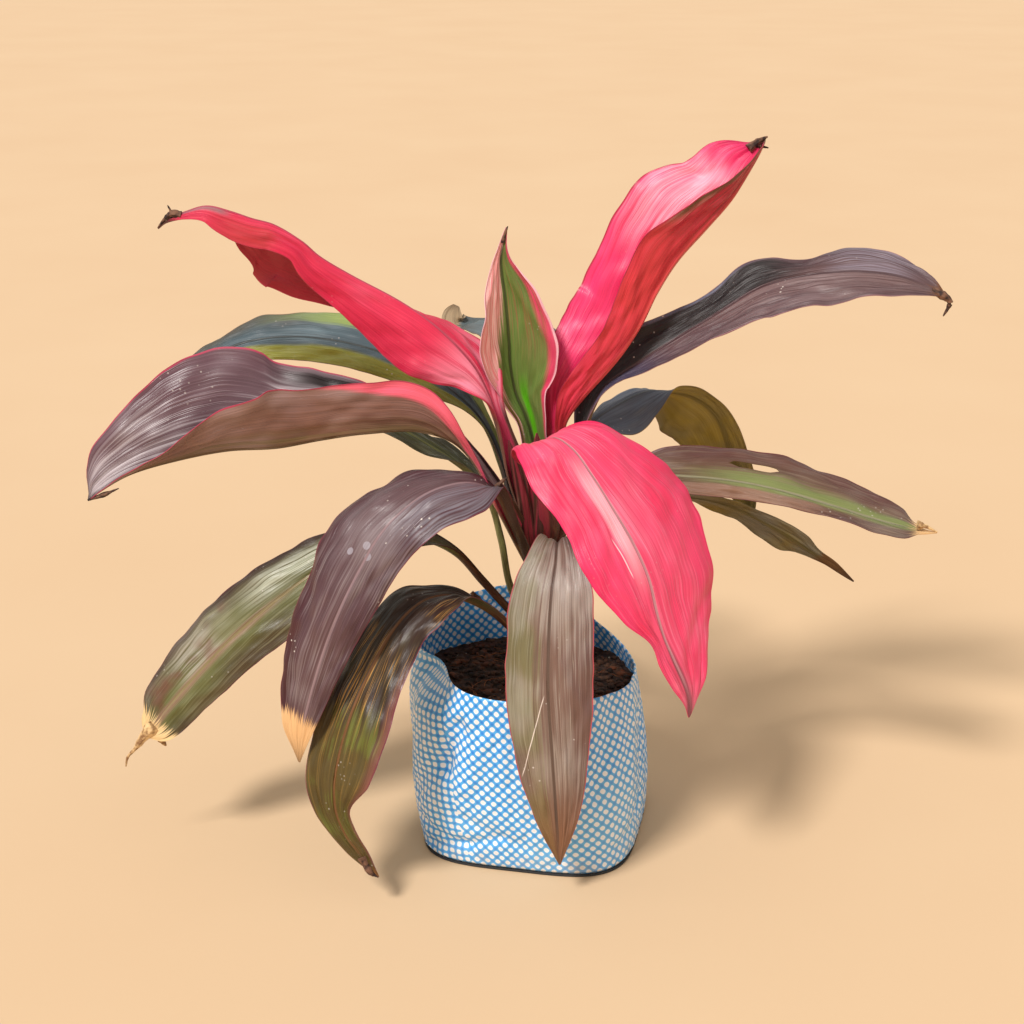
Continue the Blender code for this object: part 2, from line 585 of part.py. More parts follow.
def main():
    clear_scene()
    parts = new_collection("potted_cordyline")
    cutters = new_collection("cutters")
    make_bag(parts)
    make_soil(parts, cutters)
    make_cane(parts)
    for name, leaf in LEAVES.items():
        make_leaf(name, leaf, parts)


main()
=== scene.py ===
"""The looks of a potted red-leaved cordyline, the kind sold as a dracaena, in a soft grow bag."""

import math
import random
from collections import namedtuple

import bmesh
import bpy
import numpy as np
from mathutils import Matrix, Quaternion, Vector, noise


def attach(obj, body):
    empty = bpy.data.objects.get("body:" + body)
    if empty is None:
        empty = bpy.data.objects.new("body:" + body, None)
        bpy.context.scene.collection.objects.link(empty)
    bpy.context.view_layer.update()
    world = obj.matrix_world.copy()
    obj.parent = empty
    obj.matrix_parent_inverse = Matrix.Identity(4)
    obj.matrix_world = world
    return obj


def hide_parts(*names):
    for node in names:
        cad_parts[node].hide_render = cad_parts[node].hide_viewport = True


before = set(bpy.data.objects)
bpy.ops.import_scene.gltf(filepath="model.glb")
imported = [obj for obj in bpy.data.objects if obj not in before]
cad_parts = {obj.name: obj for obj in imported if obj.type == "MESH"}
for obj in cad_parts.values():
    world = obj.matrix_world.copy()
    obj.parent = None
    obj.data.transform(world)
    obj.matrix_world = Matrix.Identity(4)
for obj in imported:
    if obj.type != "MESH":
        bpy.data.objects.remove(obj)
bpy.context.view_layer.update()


# The grow bag's wall
# A soft nursery bag of woven plastic tape, coated and printed blue with rows of white dots. The cloth is one
# piece wrapped round and sewn up at the back left, and its open edge is turned in and stitched down.
BAG_BASE_HALF_SIDE = 0.0835
BAG_BASE_CENTRE = (0.006, 0.002)
BAG_BELLY_RADIUS = 0.0905
BAG_BELLY_HEIGHT = 0.065
BAG_RIM_RADIUS = 0.0865
BAG_RIM_CENTRE = (-0.007, 0.000)
BAG_RIM_FRONT = 0.146
BAG_RIM_RIGHT = 0.134
BAG_RIM_BACK = 0.168
BAG_RIM_LEFT = 0.152
BAG_TURN = -12.0
BAG_BASE_SQUARENESS = 4.0
BAG_RIM_SQUARENESS = 2.1
BAG_SHOULDER_ANGLE = 206.0
BAG_SHOULDER_SPREAD = 24.0
BAG_SHOULDER_DEPTH = 0.021
BAG_SHOULDER_EASE = 1.5
BAG_CLOTH = 0.0011
BAG_HEM_DEPTH = 0.009
BAG_HEM_CLOTH = 0.0009
BAG_HEEL = 0.005
BAG_SEAM_ANGLE = 148.0
BAG_SIDES = 300
BAG_ROWS = 96
SOIL_LEVEL = 0.120

# One sewn-in or slumped fold of the wall: a groove from one place to another, in degrees round and metres
# up. Its depth is inwards, and below zero it is a ridge.
Fold = namedtuple("Fold", "angle height to_angle to_height depth width")
BAG_FOLDS = [
    Fold(236, 0.118, 226, 0.082, 0.0055, 0.0080),
    Fold(249, 0.112, 238, 0.070, -0.0016, 0.0060),
    Fold(226, 0.088, 205, 0.052, 0.0030, 0.0100),
    Fold(196, 0.140, 190, 0.070, 0.0035, 0.0120),
    Fold(252, 0.030, 214, 0.012, 0.0022, 0.0045),
    Fold(236, 0.020, 206, 0.030, 0.0020, 0.0040),
    Fold(232, 0.046, 262, 0.026, 0.0018, 0.0060),
    Fold(284, 0.120, 278, 0.050, 0.0016, 0.0100),
    Fold(318, 0.132, 300, 0.070, 0.0024, 0.0080),
    Fold(338, 0.128, 322, 0.064, -0.0018, 0.0070),
    Fold(350, 0.100, 334, 0.030, 0.0022, 0.0090),
    Fold(312, 0.020, 340, 0.036, 0.0024, 0.0060),
    Fold(20, 0.120, 40, 0.050, 0.0030, 0.0100),
    Fold(70, 0.150, 84, 0.060, 0.0028, 0.0110),
    Fold(112, 0.156, 120, 0.080, 0.0032, 0.0090),
    Fold(150, 0.120, 166, 0.040, 0.0028, 0.0100),
]
FOLDS_START = 0.006
CRINKLES = 26
CRINKLE_DEPTH = 0.0005
CRINKLE_TURNS = (4, 26)
CRINKLE_CLIMB = 260
CRINKLE_FADE = 0.04
CRINKLE_LEAST = 0.2


def rim_height(angle):
    """How high the open edge stands, from the four heights measured round it."""
    right = np.cos(angle) > 0
    back = np.sin(angle) > 0
    side = np.where(right, BAG_RIM_RIGHT, BAG_RIM_LEFT)
    end = np.where(back, BAG_RIM_BACK, BAG_RIM_FRONT)
    turn = np.sin(angle) ** 2
    turn = np.where(right & back, turn**1.5, turn)
    return side + (end - side) * turn


def bag_folds(angle, height):
    """How far the wall is pushed in at each place by its folds and by the fine crinkles of stiff cloth."""
    pushed = np.zeros_like(angle)
    for fold in BAG_FOLDS:
        turn = (np.degrees(angle) - fold.angle + 180) % 360 - 180
        x = np.radians(turn) * BAG_BELLY_RADIUS
        y = height - fold.height
        run = math.radians(fold.to_angle - fold.angle) * BAG_BELLY_RADIUS
        rise = fold.to_height - fold.height
        share = np.clip((x * run + y * rise) / (run**2 + rise**2), 0, 1)
        gap = np.hypot(x - share * run, y - share * rise)
        pushed += fold.depth * np.exp(-((gap / fold.width) ** 2))
    draw = random.Random("crinkled cloth")
    for _ in range(CRINKLES):
        turns = draw.randint(*CRINKLE_TURNS)
        climb = draw.uniform(-1, 1) * CRINKLE_CLIMB
        phase = draw.uniform(0, 2 * math.pi)
        wave = np.sin(turns * angle + climb * height + phase)
        where = np.sin(3 * angle + 40 * height * draw.uniform(-1, 1) + draw.uniform(0, 2 * math.pi))
        below_rim = np.clip((BAG_RIM_LEFT - height) / CRINKLE_FADE, CRINKLE_LEAST, 1)
        pushed += CRINKLE_DEPTH * (1 - np.abs(wave)) ** 3 * np.clip(where, 0, 1) * below_rim
    return pushed * np.clip(height / FOLDS_START, 0, 1)


def bag_wall(angle, height, inset=0.0):
    """Places on the wall: a rounded square below, rounder at the rim, with one shoulder slumped inwards."""
    up = np.minimum(height / BAG_RIM_FRONT, 1.0)
    low = np.sin(np.clip(height / BAG_BELLY_HEIGHT, 0, 1) * math.pi / 2)
    high = np.clip((height - BAG_BELLY_HEIGHT) / (BAG_RIM_FRONT - BAG_BELLY_HEIGHT), 0, 1)
    radius = np.where(
        height < BAG_BELLY_HEIGHT,
        BAG_BASE_HALF_SIDE + (BAG_BELLY_RADIUS - BAG_BASE_HALF_SIDE) * low,
        BAG_BELLY_RADIUS + (BAG_RIM_RADIUS - BAG_BELLY_RADIUS) * high**2,
    )
    power = BAG_BASE_SQUARENESS + (BAG_RIM_SQUARENESS - BAG_BASE_SQUARENESS) * np.sqrt(up)
    turned = angle - math.radians(BAG_TURN)
    square = (np.abs(np.cos(turned)) ** power + np.abs(np.sin(turned)) ** power) ** (-1 / power)
    away = (np.degrees(angle) - BAG_SHOULDER_ANGLE + 180) % 360 - 180
    above_soil = np.clip((height - SOIL_LEVEL) / (BAG_RIM_FRONT - SOIL_LEVEL), 0, 1)
    shoulder = BAG_SHOULDER_DEPTH * np.exp(-((away / BAG_SHOULDER_SPREAD) ** 2))
    reach = radius * square - shoulder * above_soil**BAG_SHOULDER_EASE - inset
    x = BAG_BASE_CENTRE[0] + (BAG_RIM_CENTRE[0] - BAG_BASE_CENTRE[0]) * up + reach * np.cos(angle)
    y = BAG_BASE_CENTRE[1] + (BAG_RIM_CENTRE[1] - BAG_BASE_CENTRE[1]) * up + reach * np.sin(angle)
    return np.stack([x, y, height], axis=-1)


def bag_rings():
    """Rings of points from the base's outer edge up the outside, over the rim and down the inside."""
    angle = np.radians(BAG_SEAM_ANGLE) + np.linspace(0, 2 * math.pi, BAG_SIDES, endpoint=False)
    rim = rim_height(angle)
    rings = []
    rises = []
    for turn in (0.0, 0.35, 0.7):
        bend = BAG_HEEL * turn
        rings.append(bag_wall(angle, np.full_like(angle, bend), BAG_HEEL - bend))
        rises.append(bend)
    for share in np.linspace(0, 1, BAG_ROWS):
        height = BAG_HEEL + (rim - BAG_CLOTH - BAG_HEEL) * share
        rings.append(bag_wall(angle, height, bag_folds(angle, height)))
        rises.append(height)
    for roll in (0.25, 0.5, 0.75):
        height = rim - BAG_CLOTH * (1 - math.sin(roll * math.pi))
        inset = bag_folds(angle, height) + (BAG_CLOTH + BAG_HEM_CLOTH) * roll
        rings.append(bag_wall(angle, height, inset))
        rises.append(height)
    hem_shares = [0.0, 0.25, 0.5, 0.75, 0.98, 1.0]
    for share in hem_shares:
        height = rim - BAG_CLOTH - BAG_HEM_DEPTH * share
        cloth = BAG_CLOTH + BAG_HEM_CLOTH * (share < 1)
        rings.append(bag_wall(angle, height, bag_folds(angle, height) + cloth))
        rises.append(height)
    for share in np.linspace(0.03, 1, BAG_ROWS // 2):
        height = (rim - BAG_CLOTH - BAG_HEM_DEPTH) * (1 - share) + BAG_HEEL * share
        rings.append(bag_wall(angle, height, bag_folds(angle, height) + BAG_CLOTH))
        rises.append(height)
    return angle, rings, rises


SMOOTH_ANGLE = 40.0


def new_piece(name, points, faces, material):
    """An object of these points and faces, smooth where its faces meet at less than SMOOTH_ANGLE."""
    mesh = bpy.data.meshes.new(name)
    mesh.from_pydata([tuple(p) for p in points], [], faces)
    mesh.validate()
    mesh.shade_smooth()
    mesh.set_sharp_from_angle(angle=math.radians(SMOOTH_ANGLE))
    mesh.materials.append(material)
    piece = bpy.data.objects.new(name, mesh)
    bpy.context.scene.collection.objects.link(piece)
    return piece


class Wire:
    """A socket of a material's nodes. Sums on wires add the Math nodes that work them out."""

    def __init__(self, tree, socket):
        self.tree = tree
        self.socket = socket

    def node(self, kind, settings=None, inputs=None, output=0):
        """Adds a node of this kind, sets it, fills its inputs and gives one of its outputs."""
        made = self.tree.nodes.new(kind)
        for name, value in (settings or {}).items():
            setattr(made, name, value)
        for place, value in (inputs or {}).items():
            if isinstance(value, Wire):
                self.tree.links.new(value.socket, made.inputs[place])
            else:
                made.inputs[place].default_value = value
        return Wire(self.tree, made.outputs[output])

    def math(self, operation, *values):
        return self.node("ShaderNodeMath", {"operation": operation}, dict(enumerate(values)))

    def __add__(self, other):
        return self.math("ADD", self, other)

    def __radd__(self, other):
        return self.math("ADD", other, self)

    def __sub__(self, other):
        return self.math("SUBTRACT", self, other)

    def __rsub__(self, other):
        return self.math("SUBTRACT", other, self)

    def __mul__(self, other):
        return self.math("MULTIPLY", self, other)

    def __rmul__(self, other):
        return self.math("MULTIPLY", other, self)

    def __truediv__(self, other):
        return self.math("DIVIDE", self, other)

    def __pow__(self, other):
        return self.math("POWER", self, other)

    def __abs__(self):
        return self.math("ABSOLUTE", self)

    def sine(self):
        return self.math("SINE", self)

    def ease(self, low, high):
        """0 at low and 1 at high, smooth between them. Low may be the larger."""
        settings = {"interpolation_type": "SMOOTHSTEP"}
        return self.node("ShaderNodeMapRange", settings, {0: self, 1: low, 2: high})

    def between(self, start, full, fade, end):
        """Rises from start to full, stays 1, and falls from fade to end."""
        return self.ease(start, full) * self.ease(end, fade)

    def blend(self, first, second):
        """The first colour where this is 0 and the second where it is 1."""
        return self.node("ShaderNodeMix", {"data_type": "RGBA"}, {0: self, 6: first, 7: second}, 2)

    def mixed(self, share, other):
        """This colour with the same share of the other all over."""
        return self.node("ShaderNodeMix", {"data_type": "RGBA"}, {0: share, 6: self, 7: other}, 2)

    def dim(self, colour):
        """The colour times this."""
        return self.node("ShaderNodeVectorMath", {"operation": "SCALE"}, {0: colour, 3: self})

    def noise(self, scale, detail=2.0):
        """Cloudy noise over this place."""
        return self.node("ShaderNodeTexNoise", {}, {"Vector": self, "Scale": scale, "Detail": detail})

    def place(self, x, y, z=0.0):
        """The place with these three parts."""
        return self.node("ShaderNodeCombineXYZ", {}, {0: x, 1: y, 2: z})

    def part(self, axis):
        """One of this place's three parts."""
        return self.node("ShaderNodeSeparateXYZ", {}, {0: self}, axis)

    def stored(self, field):
        """A value that the mesh holds for each of its points."""
        return self.node("ShaderNodeAttribute", {"attribute_name": field}, output=2)


def tone(code):
    """A colour written as #RRGGBB, in the linear values that a shader takes."""
    shares = [int(code[i:i + 2], 16) / 255 for i in (1, 3, 5)]
    return (*[s / 12.92 if s < 0.04045 else ((s + 0.055) / 1.055) ** 2.4 for s in shares], 1.0)


def new_finish(name, roughness, coat=0.0):
    """A material, its shader and a wire that carries places on the object."""
    material = bpy.data.materials.new(name)
    material.use_nodes = True
    tree = material.node_tree
    shader = tree.nodes["Principled BSDF"]
    shader.inputs["Roughness"].default_value = roughness
    shader.inputs["Coat Weight"].default_value = coat
    start = Wire(tree, None)
    return material, shader, start.node("ShaderNodeTexCoord", output=3)


def feed(shader, **wires):
    """Joins wires to the shader's sockets, named with _ for each space."""
    for name, wire in wires.items():
        wire.tree.links.new(wire.socket, shader.inputs[name.replace("_", " ")])


def bump(height, depth, strength=1.0):
    """Relief this deep where the height runs from 0 to 1."""
    inputs = {"Strength": strength, "Distance": depth, "Height": height}
    return height.node("ShaderNodeBump", {}, inputs)


# The dots run aslant, but on one panel of the cloth they run straight up. Its sides are in degrees.
PRINT_PITCH = 0.0058
PRINT_TURN = 45.0
PRINT_PANEL = (163.0, 229.0)
PRINT_PANEL_TURN = 4.0
DOT_SQUARENESS = 2.6
TAPE_WIDTH = 0.0013


def dot_print(wrap, rise, turn):
    """How near each place is to a dot's middle, and how near to where four dots meet, from 0 to 1."""
    cosine = math.cos(math.radians(turn)) / PRINT_PITCH
    sine = math.sin(math.radians(turn)) / PRINT_PITCH
    x = abs(wrap.math("FRACT", wrap * cosine + rise * sine) - 0.5) * 2
    y = abs(wrap.math("FRACT", rise * cosine - wrap * sine) - 0.5) * 2
    spread = (x**DOT_SQUARENESS + y**DOT_SQUARENESS) ** (1 / DOT_SQUARENESS)
    return spread, x * y


def bag_finish():
    material, shader, place = new_finish("bag_print", 0.38, coat=0.25)
    shader.inputs["Coat Roughness"].default_value = 0.22
    flat = place.node("ShaderNodeUVMap", {"uv_map": "cloth"})
    wrap = flat.part(0)
    rise = flat.part(1)
    warp = place.noise(18.0, 1.0) - 0.5
    wavy_rise = rise + warp * 0.003
    wavy_wrap = wrap + warp * 0.002
    slanted, slanted_cross = dot_print(wavy_wrap, wavy_rise, PRINT_TURN)
    upright, upright_cross = dot_print(wavy_wrap, wavy_rise, PRINT_PANEL_TURN)
    start, end = [math.radians(a - BAG_SEAM_ANGLE) * BAG_BELLY_RADIUS for a in PRINT_PANEL]
    panel = wrap.ease(start - 0.001, start + 0.001) * (wrap + rise * 0.10).ease(end + 0.013, end + 0.009)
    spread = slanted + (upright - slanted) * panel
    cross = slanted_cross + (upright_cross - slanted_cross) * panel
    faded = place.noise(9.0, 3.0)
    blue = cross.ease(0.25, 0.8).blend(tone("#4CAEF4"), tone("#2684E2"))
    blue = (faded.ease(0.35, 0.75) * 0.5).blend(blue, tone("#8AD0F4"))
    dot = spread.ease(0.74, 0.56)
    heart = spread.ease(0.34, 0.16)
    white = (heart * 0.4).blend(tone("#F6F9FF"), tone("#F4EADF"))
    colour = dot.blend(blue, white)
    soiled = rise.ease(0.024, 0.0) * place.noise(60.0, 4.0).ease(0.3, 0.8)
    colour = (soiled * 0.45).blend(colour, tone("#B79A74"))
    tape = (wrap * (2 * math.pi / TAPE_WIDTH)).sine() * (rise * (2 * math.pi / TAPE_WIDTH)).sine()
    crease = place.noise(55.0, 3.0) + place.noise(170.0, 2.0) * 0.35
    height = tape * 0.06 + crease
    feed(shader, Base_Color=colour, Roughness=place.noise(40.0, 2.0) * 0.2 + 0.28)
    feed(shader, Normal=bump(height, 0.0011, 0.8))
    return material


def make_bag():
    angle, rings, rises = bag_rings()
    points = np.concatenate(rings + [rings[0].mean(0)[None], rings[-1].mean(0)[None]])
    last = len(rings) - 1
    under, floor = len(points) - 2, len(points) - 1
    faces = []
    flat = []
    wraps = (angle - angle[0]) * BAG_BELLY_RADIUS
    wraps = np.append(wraps, 2 * math.pi * BAG_BELLY_RADIUS)
    for r in range(last):
        for i in range(BAG_SIDES):
            j = (i + 1) % BAG_SIDES
            low, high = r * BAG_SIDES, (r + 1) * BAG_SIDES
            faces.append((low + i, low + j, high + j, high + i))
            low_rise = np.broadcast_to(rises[r], BAG_SIDES)
            high_rise = np.broadcast_to(rises[r + 1], BAG_SIDES)
            flat += [
                (wraps[i], low_rise[i]), (wraps[i + 1], low_rise[j]),
                (wraps[i + 1], high_rise[j]), (wraps[i], high_rise[i]),
            ]
    for i in range(BAG_SIDES):
        j = (i + 1) % BAG_SIDES
        faces.append((j, i, under))
        faces.append((last * BAG_SIDES + i, last * BAG_SIDES + j, floor))
        flat += [(wraps[i + 1], 0.0), (wraps[i], 0.0), (wraps[i], 0.0)]
        flat += [(wraps[i], 0.0), (wraps[i + 1], 0.0), (wraps[i], 0.0)]
    bag = new_piece("bag", points, faces, bag_finish())
    layer = bag.data.uv_layers.new(name="cloth")
    layer.data.foreach_set("uv", np.array(flat, np.float32).ravel())
    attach(bag, "root")
    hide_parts("grow_bag")


make_bag()


# The dark line round the bag's base
# A thin black tube runs round the bag's foot, just inside its outer edge. It shows as a thin dark line where
# the bag meets the floor.
FOOT_LINE_RADIUS = 0.0010
FOOT_LINE_SIDES = 8
FOOT_LINE_STEPS = 160
FOOT_LINE_INSET = 0.0018


def tube(path, radius, sides, closed=False):
    """Points and faces of a round tube along a path. A closed path joins its last point to its first."""
    path = [Vector(p) for p in path]
    count = len(path)
    points = []
    faces = []
    for k, here in enumerate(path):
        if closed:
            along = path[(k + 1) % count] - path[k - 1]
        else:
            along = path[min(k + 1, count - 1)] - path[max(k - 1, 0)]
        turn = along.to_track_quat("Z", "Y")
        width = radius[k] if isinstance(radius, (list, tuple)) else radius
        for side in range(sides):
            a = 2 * math.pi * side / sides
            points.append(here + turn @ Vector((math.cos(a) * width, math.sin(a) * width, 0)))
    for k in range(count if closed else count - 1):
        low, high = k * sides, (k + 1) % count * sides
        for side in range(sides):
            after = (side + 1) % sides
            faces.append((low + side, low + after, high + after, high + side))
    if not closed:
        faces.append(tuple(reversed(range(sides))))
        faces.append(tuple(range((count - 1) * sides, count * sides)))
    return points, faces


def make_foot_line():
    material, shader, place = new_finish("black_foot_line", 0.7)
    # Near-black, so that it shows as a dark line where the bag meets the floor.
    feed(shader, Base_Color=place.noise(300.0).blend(tone("#17171A"), tone("#2B2A2C")))
    angle = np.linspace(0, 2 * math.pi, FOOT_LINE_STEPS, endpoint=False)
    edge = bag_wall(angle, np.full_like(angle, FOOT_LINE_RADIUS), FOOT_LINE_INSET)
    points, faces = tube(edge, FOOT_LINE_RADIUS, FOOT_LINE_SIDES, closed=True)
    dark_line = new_piece("bag_foot_line", points, faces, material)
    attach(dark_line, "root")


make_foot_line()


# The potting soil
# Damp, dark potting mix of peat, coir and fine bark, filled to about 3 cm below the rim. It is loose:
# crumbs, bark chips, coir fibres and a few grains of perlite lie on it, and the cane stands in it.
SOIL_SPOKES = 200
SOIL_CIRCLES = 64
SOIL_DEPTHS = 20
SOIL_LUMPS = 0.0032
SOIL_CRUMBS = 900
SOIL_CHIPS = 60
SOIL_GRAINS = 34
SOIL_FIBRES = 90
SOIL_GAP = 0.0003
SOIL_GAP_BELOW = 0.0006
SOIL_CRUST = 0.006
SOIL_FOOT = 0.030
CANE_X = 0.0135
CANE_CLEAR = 0.012
LUMP_ROUGHNESS = 0.32
FIBRE_STEPS = 8
FIBRE_SIDES = 5
FIBRE_LENGTHS = (0.008, 0.026)
FIBRE_RADII = (0.00018, 0.00035)
FIBRE_CURL = 1.6
FIBRE_REACH = 0.078


def soil_top(x, y):
    """The lumpy surface's height."""
    here = Vector((x, y, 0))
    return SOIL_LEVEL + SOIL_LUMPS * (
        noise.noise(here * 45) * 0.7 + noise.noise(here * 130) * 0.45 + noise.noise(here * 320) * 0.25
    )


def soil_finish(name, dark, light, roughness):
    material, shader, place = new_finish(name, roughness)
    mottle = place.noise(160.0, 4.0)
    colour = mottle.ease(0.35, 0.7).blend(tone(dark), tone(light))
    feed(shader, Base_Color=colour, Normal=bump(place.noise(420.0, 3.0), 0.0008))
    return material


def make_soil():
    angle = np.linspace(0, 2 * math.pi, SOIL_SPOKES, endpoint=False)
    level = np.full_like(angle, SOIL_LEVEL)
    edge = bag_wall(angle, level, bag_folds(angle, level) + BAG_CLOTH + SOIL_GAP)
    middle = edge.mean(0)
    points = []
    for ring in range(SOIL_CIRCLES + 1):
        share = 1 - ring / SOIL_CIRCLES
        for x, y in (middle + (edge - middle) * share)[:, :2]:
            points.append((x, y, soil_top(x, y)))
    depths = np.linspace(SOIL_LEVEL - SOIL_CRUST, SOIL_FOOT, SOIL_DEPTHS)
    for depth in depths:
        below = np.full_like(angle, depth)
        inset = bag_folds(angle, below) + BAG_CLOTH + SOIL_GAP_BELOW
        points += [tuple(p) for p in bag_wall(angle, below, inset)]
    faces = []
    for ring in range(SOIL_CIRCLES):
        for i in range(SOIL_SPOKES):
            j = (i + 1) % SOIL_SPOKES
            low, high = ring * SOIL_SPOKES, (ring + 1) * SOIL_SPOKES
            faces.append((low + i, low + j, high + j, high + i))
    base = (SOIL_CIRCLES + 1) * SOIL_SPOKES
    for ring in range(SOIL_DEPTHS):
        for i in range(SOIL_SPOKES):
            j = (i + 1) % SOIL_SPOKES
            low = base + ring * SOIL_SPOKES
            high = low - SOIL_SPOKES if ring else 0
            faces.append((low + i, low + j, high + j, high + i))
    base += (SOIL_DEPTHS - 1) * SOIL_SPOKES
    faces.append(tuple(range(base + SOIL_SPOKES - 1, base - 1, -1)))
    soil = new_piece("soil_bed", points, faces, soil_finish("potting_mix", "#22140D", "#54382A", 0.9))
    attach(soil, "root")
    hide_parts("soil")
    return edge, middle


def scatter(draw, edge, middle, count, reach=0.95):
    """Places on the soil, clear of the cane."""
    found = []
    while len(found) < count:
        rim = edge[draw.randrange(len(edge))]
        share = math.sqrt(draw.random()) * reach
        x, y = (middle + (rim - middle) * share)[:2]
        if math.hypot(x - CANE_X, y) > CANE_CLEAR:
            found.append((x, y))
    return found


def make_lumps(name, places, draw, sizes, stretch, material):
    """Irregular crumbs or chips, half sunk in the soil."""
    bm = bmesh.new()
    bmesh.ops.create_icosphere(bm, subdivisions=2, radius=1.0)
    ball = [v.co.copy() for v in bm.verts]
    ball_faces = [[v.index for v in face.verts] for face in bm.faces]
    bm.free()
    points = []
    faces = []
    for x, y in places:
        size = draw.uniform(*sizes)
        spin = Matrix.Rotation(draw.uniform(0, 2 * math.pi), 3, "Z")
        tilt = Matrix.Rotation(draw.uniform(-0.6, 0.6), 3, "X")
        shape = Matrix.Diagonal((draw.uniform(*stretch), 1, draw.uniform(0.55, 0.8)))
        turn = spin @ tilt @ shape * size
        where = Vector((x, y, soil_top(x, y) + size * 0.25))
        offset = where * 900
        faces += [[len(points) + i for i in face] for face in ball_faces]
        points += [where + turn @ (p * (1 + LUMP_ROUGHNESS * noise.noise(p * 1.3 + offset))) for p in ball]
    piece = new_piece(name, points, faces, material)
    piece.data.shade_smooth()
    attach(piece, "root")


def make_fibres(places, draw):
    """Curled coir fibres that lie on the soil."""
    points = []
    faces = []
    for x, y in places:
        heading = draw.uniform(0, 2 * math.pi)
        length = draw.uniform(*FIBRE_LENGTHS)
        curl = draw.uniform(-FIBRE_CURL, FIBRE_CURL)
        path = []
        for step in range(FIBRE_STEPS + 1):
            share = step / FIBRE_STEPS
            turn = heading + curl * share
            x += math.cos(turn) * length / FIBRE_STEPS
            y += math.sin(turn) * length / FIBRE_STEPS
            lift = 0.0008 + 0.0022 * math.sin(share * math.pi) * abs(curl) / FIBRE_CURL
            path.append((x, y, soil_top(x, y) + lift))
        if max(math.hypot(*point[:2]) for point in path) > FIBRE_REACH:
            continue
        more, rings = tube(path, draw.uniform(*FIBRE_RADII), FIBRE_SIDES)
        faces += [tuple(len(points) + i for i in face) for face in rings]
        points += more
    material = soil_finish("coir_fibre", "#5A2E16", "#A4663A", 0.8)
    fibres = new_piece("soil_fibres", points, faces, material)
    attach(fibres, "root")


soil_edge, soil_middle = make_soil()
soil_draw = random.Random("potting soil")
make_lumps(
    "soil_crumbs", scatter(soil_draw, soil_edge, soil_middle, SOIL_CRUMBS), soil_draw,
    (0.0009, 0.0030), (0.8, 1.5), soil_finish("peat_crumb", "#24150E", "#5E3F2C", 0.85),
)
make_lumps(
    "soil_bark", scatter(soil_draw, soil_edge, soil_middle, SOIL_CHIPS), soil_draw,
    (0.0014, 0.0028), (2.0, 3.4), soil_finish("bark_chip", "#3A1C0E", "#7A4526", 0.8),
)
make_lumps(
    "soil_perlite", scatter(soil_draw, soil_edge, soil_middle, SOIL_GRAINS), soil_draw,
    (0.0005, 0.0011), (0.9, 1.3), soil_finish("perlite", "#8D8478", "#CFC7B8", 0.8),
)
make_fibres(scatter(soil_draw, soil_edge, soil_middle, SOIL_FIBRES, 0.85), soil_draw)


# The cane
# The plant's woody stem, grey-brown and ringed by the scars of leaves that have dropped. The leaves clasp it
# one above another, so only its foot shows.
CANE_FOOT = Vector((0.014, 0.000, 0.072))
CANE_TOP = Vector((0.011, 0.006, 0.266))
CANE_FOOT_RADIUS = 0.0088
CANE_TOP_RADIUS = 0.0062
CANE_RING_PITCH = 0.011
CANE_RING_RISE = 0.0005
CANE_SIDES = 40
CANE_ROWS = 260
CANE_DOME_HEIGHT = 0.016


def cane_centre(height):
    share = (height - CANE_FOOT.z) / (CANE_TOP.z - CANE_FOOT.z)
    return CANE_FOOT.lerp(CANE_TOP, share)


def cane_radius(height):
    share = (height - CANE_FOOT.z) / (CANE_TOP.z - CANE_FOOT.z)
    taper = CANE_FOOT_RADIUS + (CANE_TOP_RADIUS - CANE_FOOT_RADIUS) * share
    ring = max(0.0, math.cos(2 * math.pi * height / CANE_RING_PITCH)) ** 6
    return taper + CANE_RING_RISE * ring


def make_cane():
    points = []
    for row in range(CANE_ROWS + 1):
        height = CANE_FOOT.z + (CANE_TOP.z - CANE_FOOT.z) * row / CANE_ROWS
        dome = max(0.0, 1 - (CANE_TOP.z - height) / CANE_DOME_HEIGHT)
        round_off = math.sqrt(1 - 0.8 * dome**2)
        for side in range(CANE_SIDES):
            a = 2 * math.pi * side / CANE_SIDES
            out = Vector((math.cos(a), math.sin(a), 0))
            rough = 1 + 0.025 * noise.noise(Vector((out.x * 3, out.y * 3, height * 90)))
            points.append(cane_centre(height) + out * cane_radius(height) * round_off * rough)
    faces = [tuple(reversed(range(CANE_SIDES)))]
    for row in range(CANE_ROWS):
        for side in range(CANE_SIDES):
            after = (side + 1) % CANE_SIDES
            low, high = row * CANE_SIDES, (row + 1) * CANE_SIDES
            faces.append((low + side, low + after, high + after, high + side))
    faces.append(tuple(range(CANE_ROWS * CANE_SIDES, (CANE_ROWS + 1) * CANE_SIDES)))
    material, shader, place = new_finish("cane_bark", 0.65)
    height = place.part(2)
    ring = (height * (2 * math.pi / CANE_RING_PITCH) + math.pi / 2).sine()
    colour = place.noise(120.0, 4.0).ease(0.3, 0.7).blend(tone("#6B5534"), tone("#93794B"))
    colour = ring.ease(0.75, 1.0).blend(colour, tone("#4A3420"))
    feed(shader, Base_Color=colour, Normal=bump(place.noise(260.0, 3.0), 0.0006))
    cane = new_piece("cane_stem", points, faces, material)
    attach(cane, "root")
    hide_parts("cane")


make_cane()
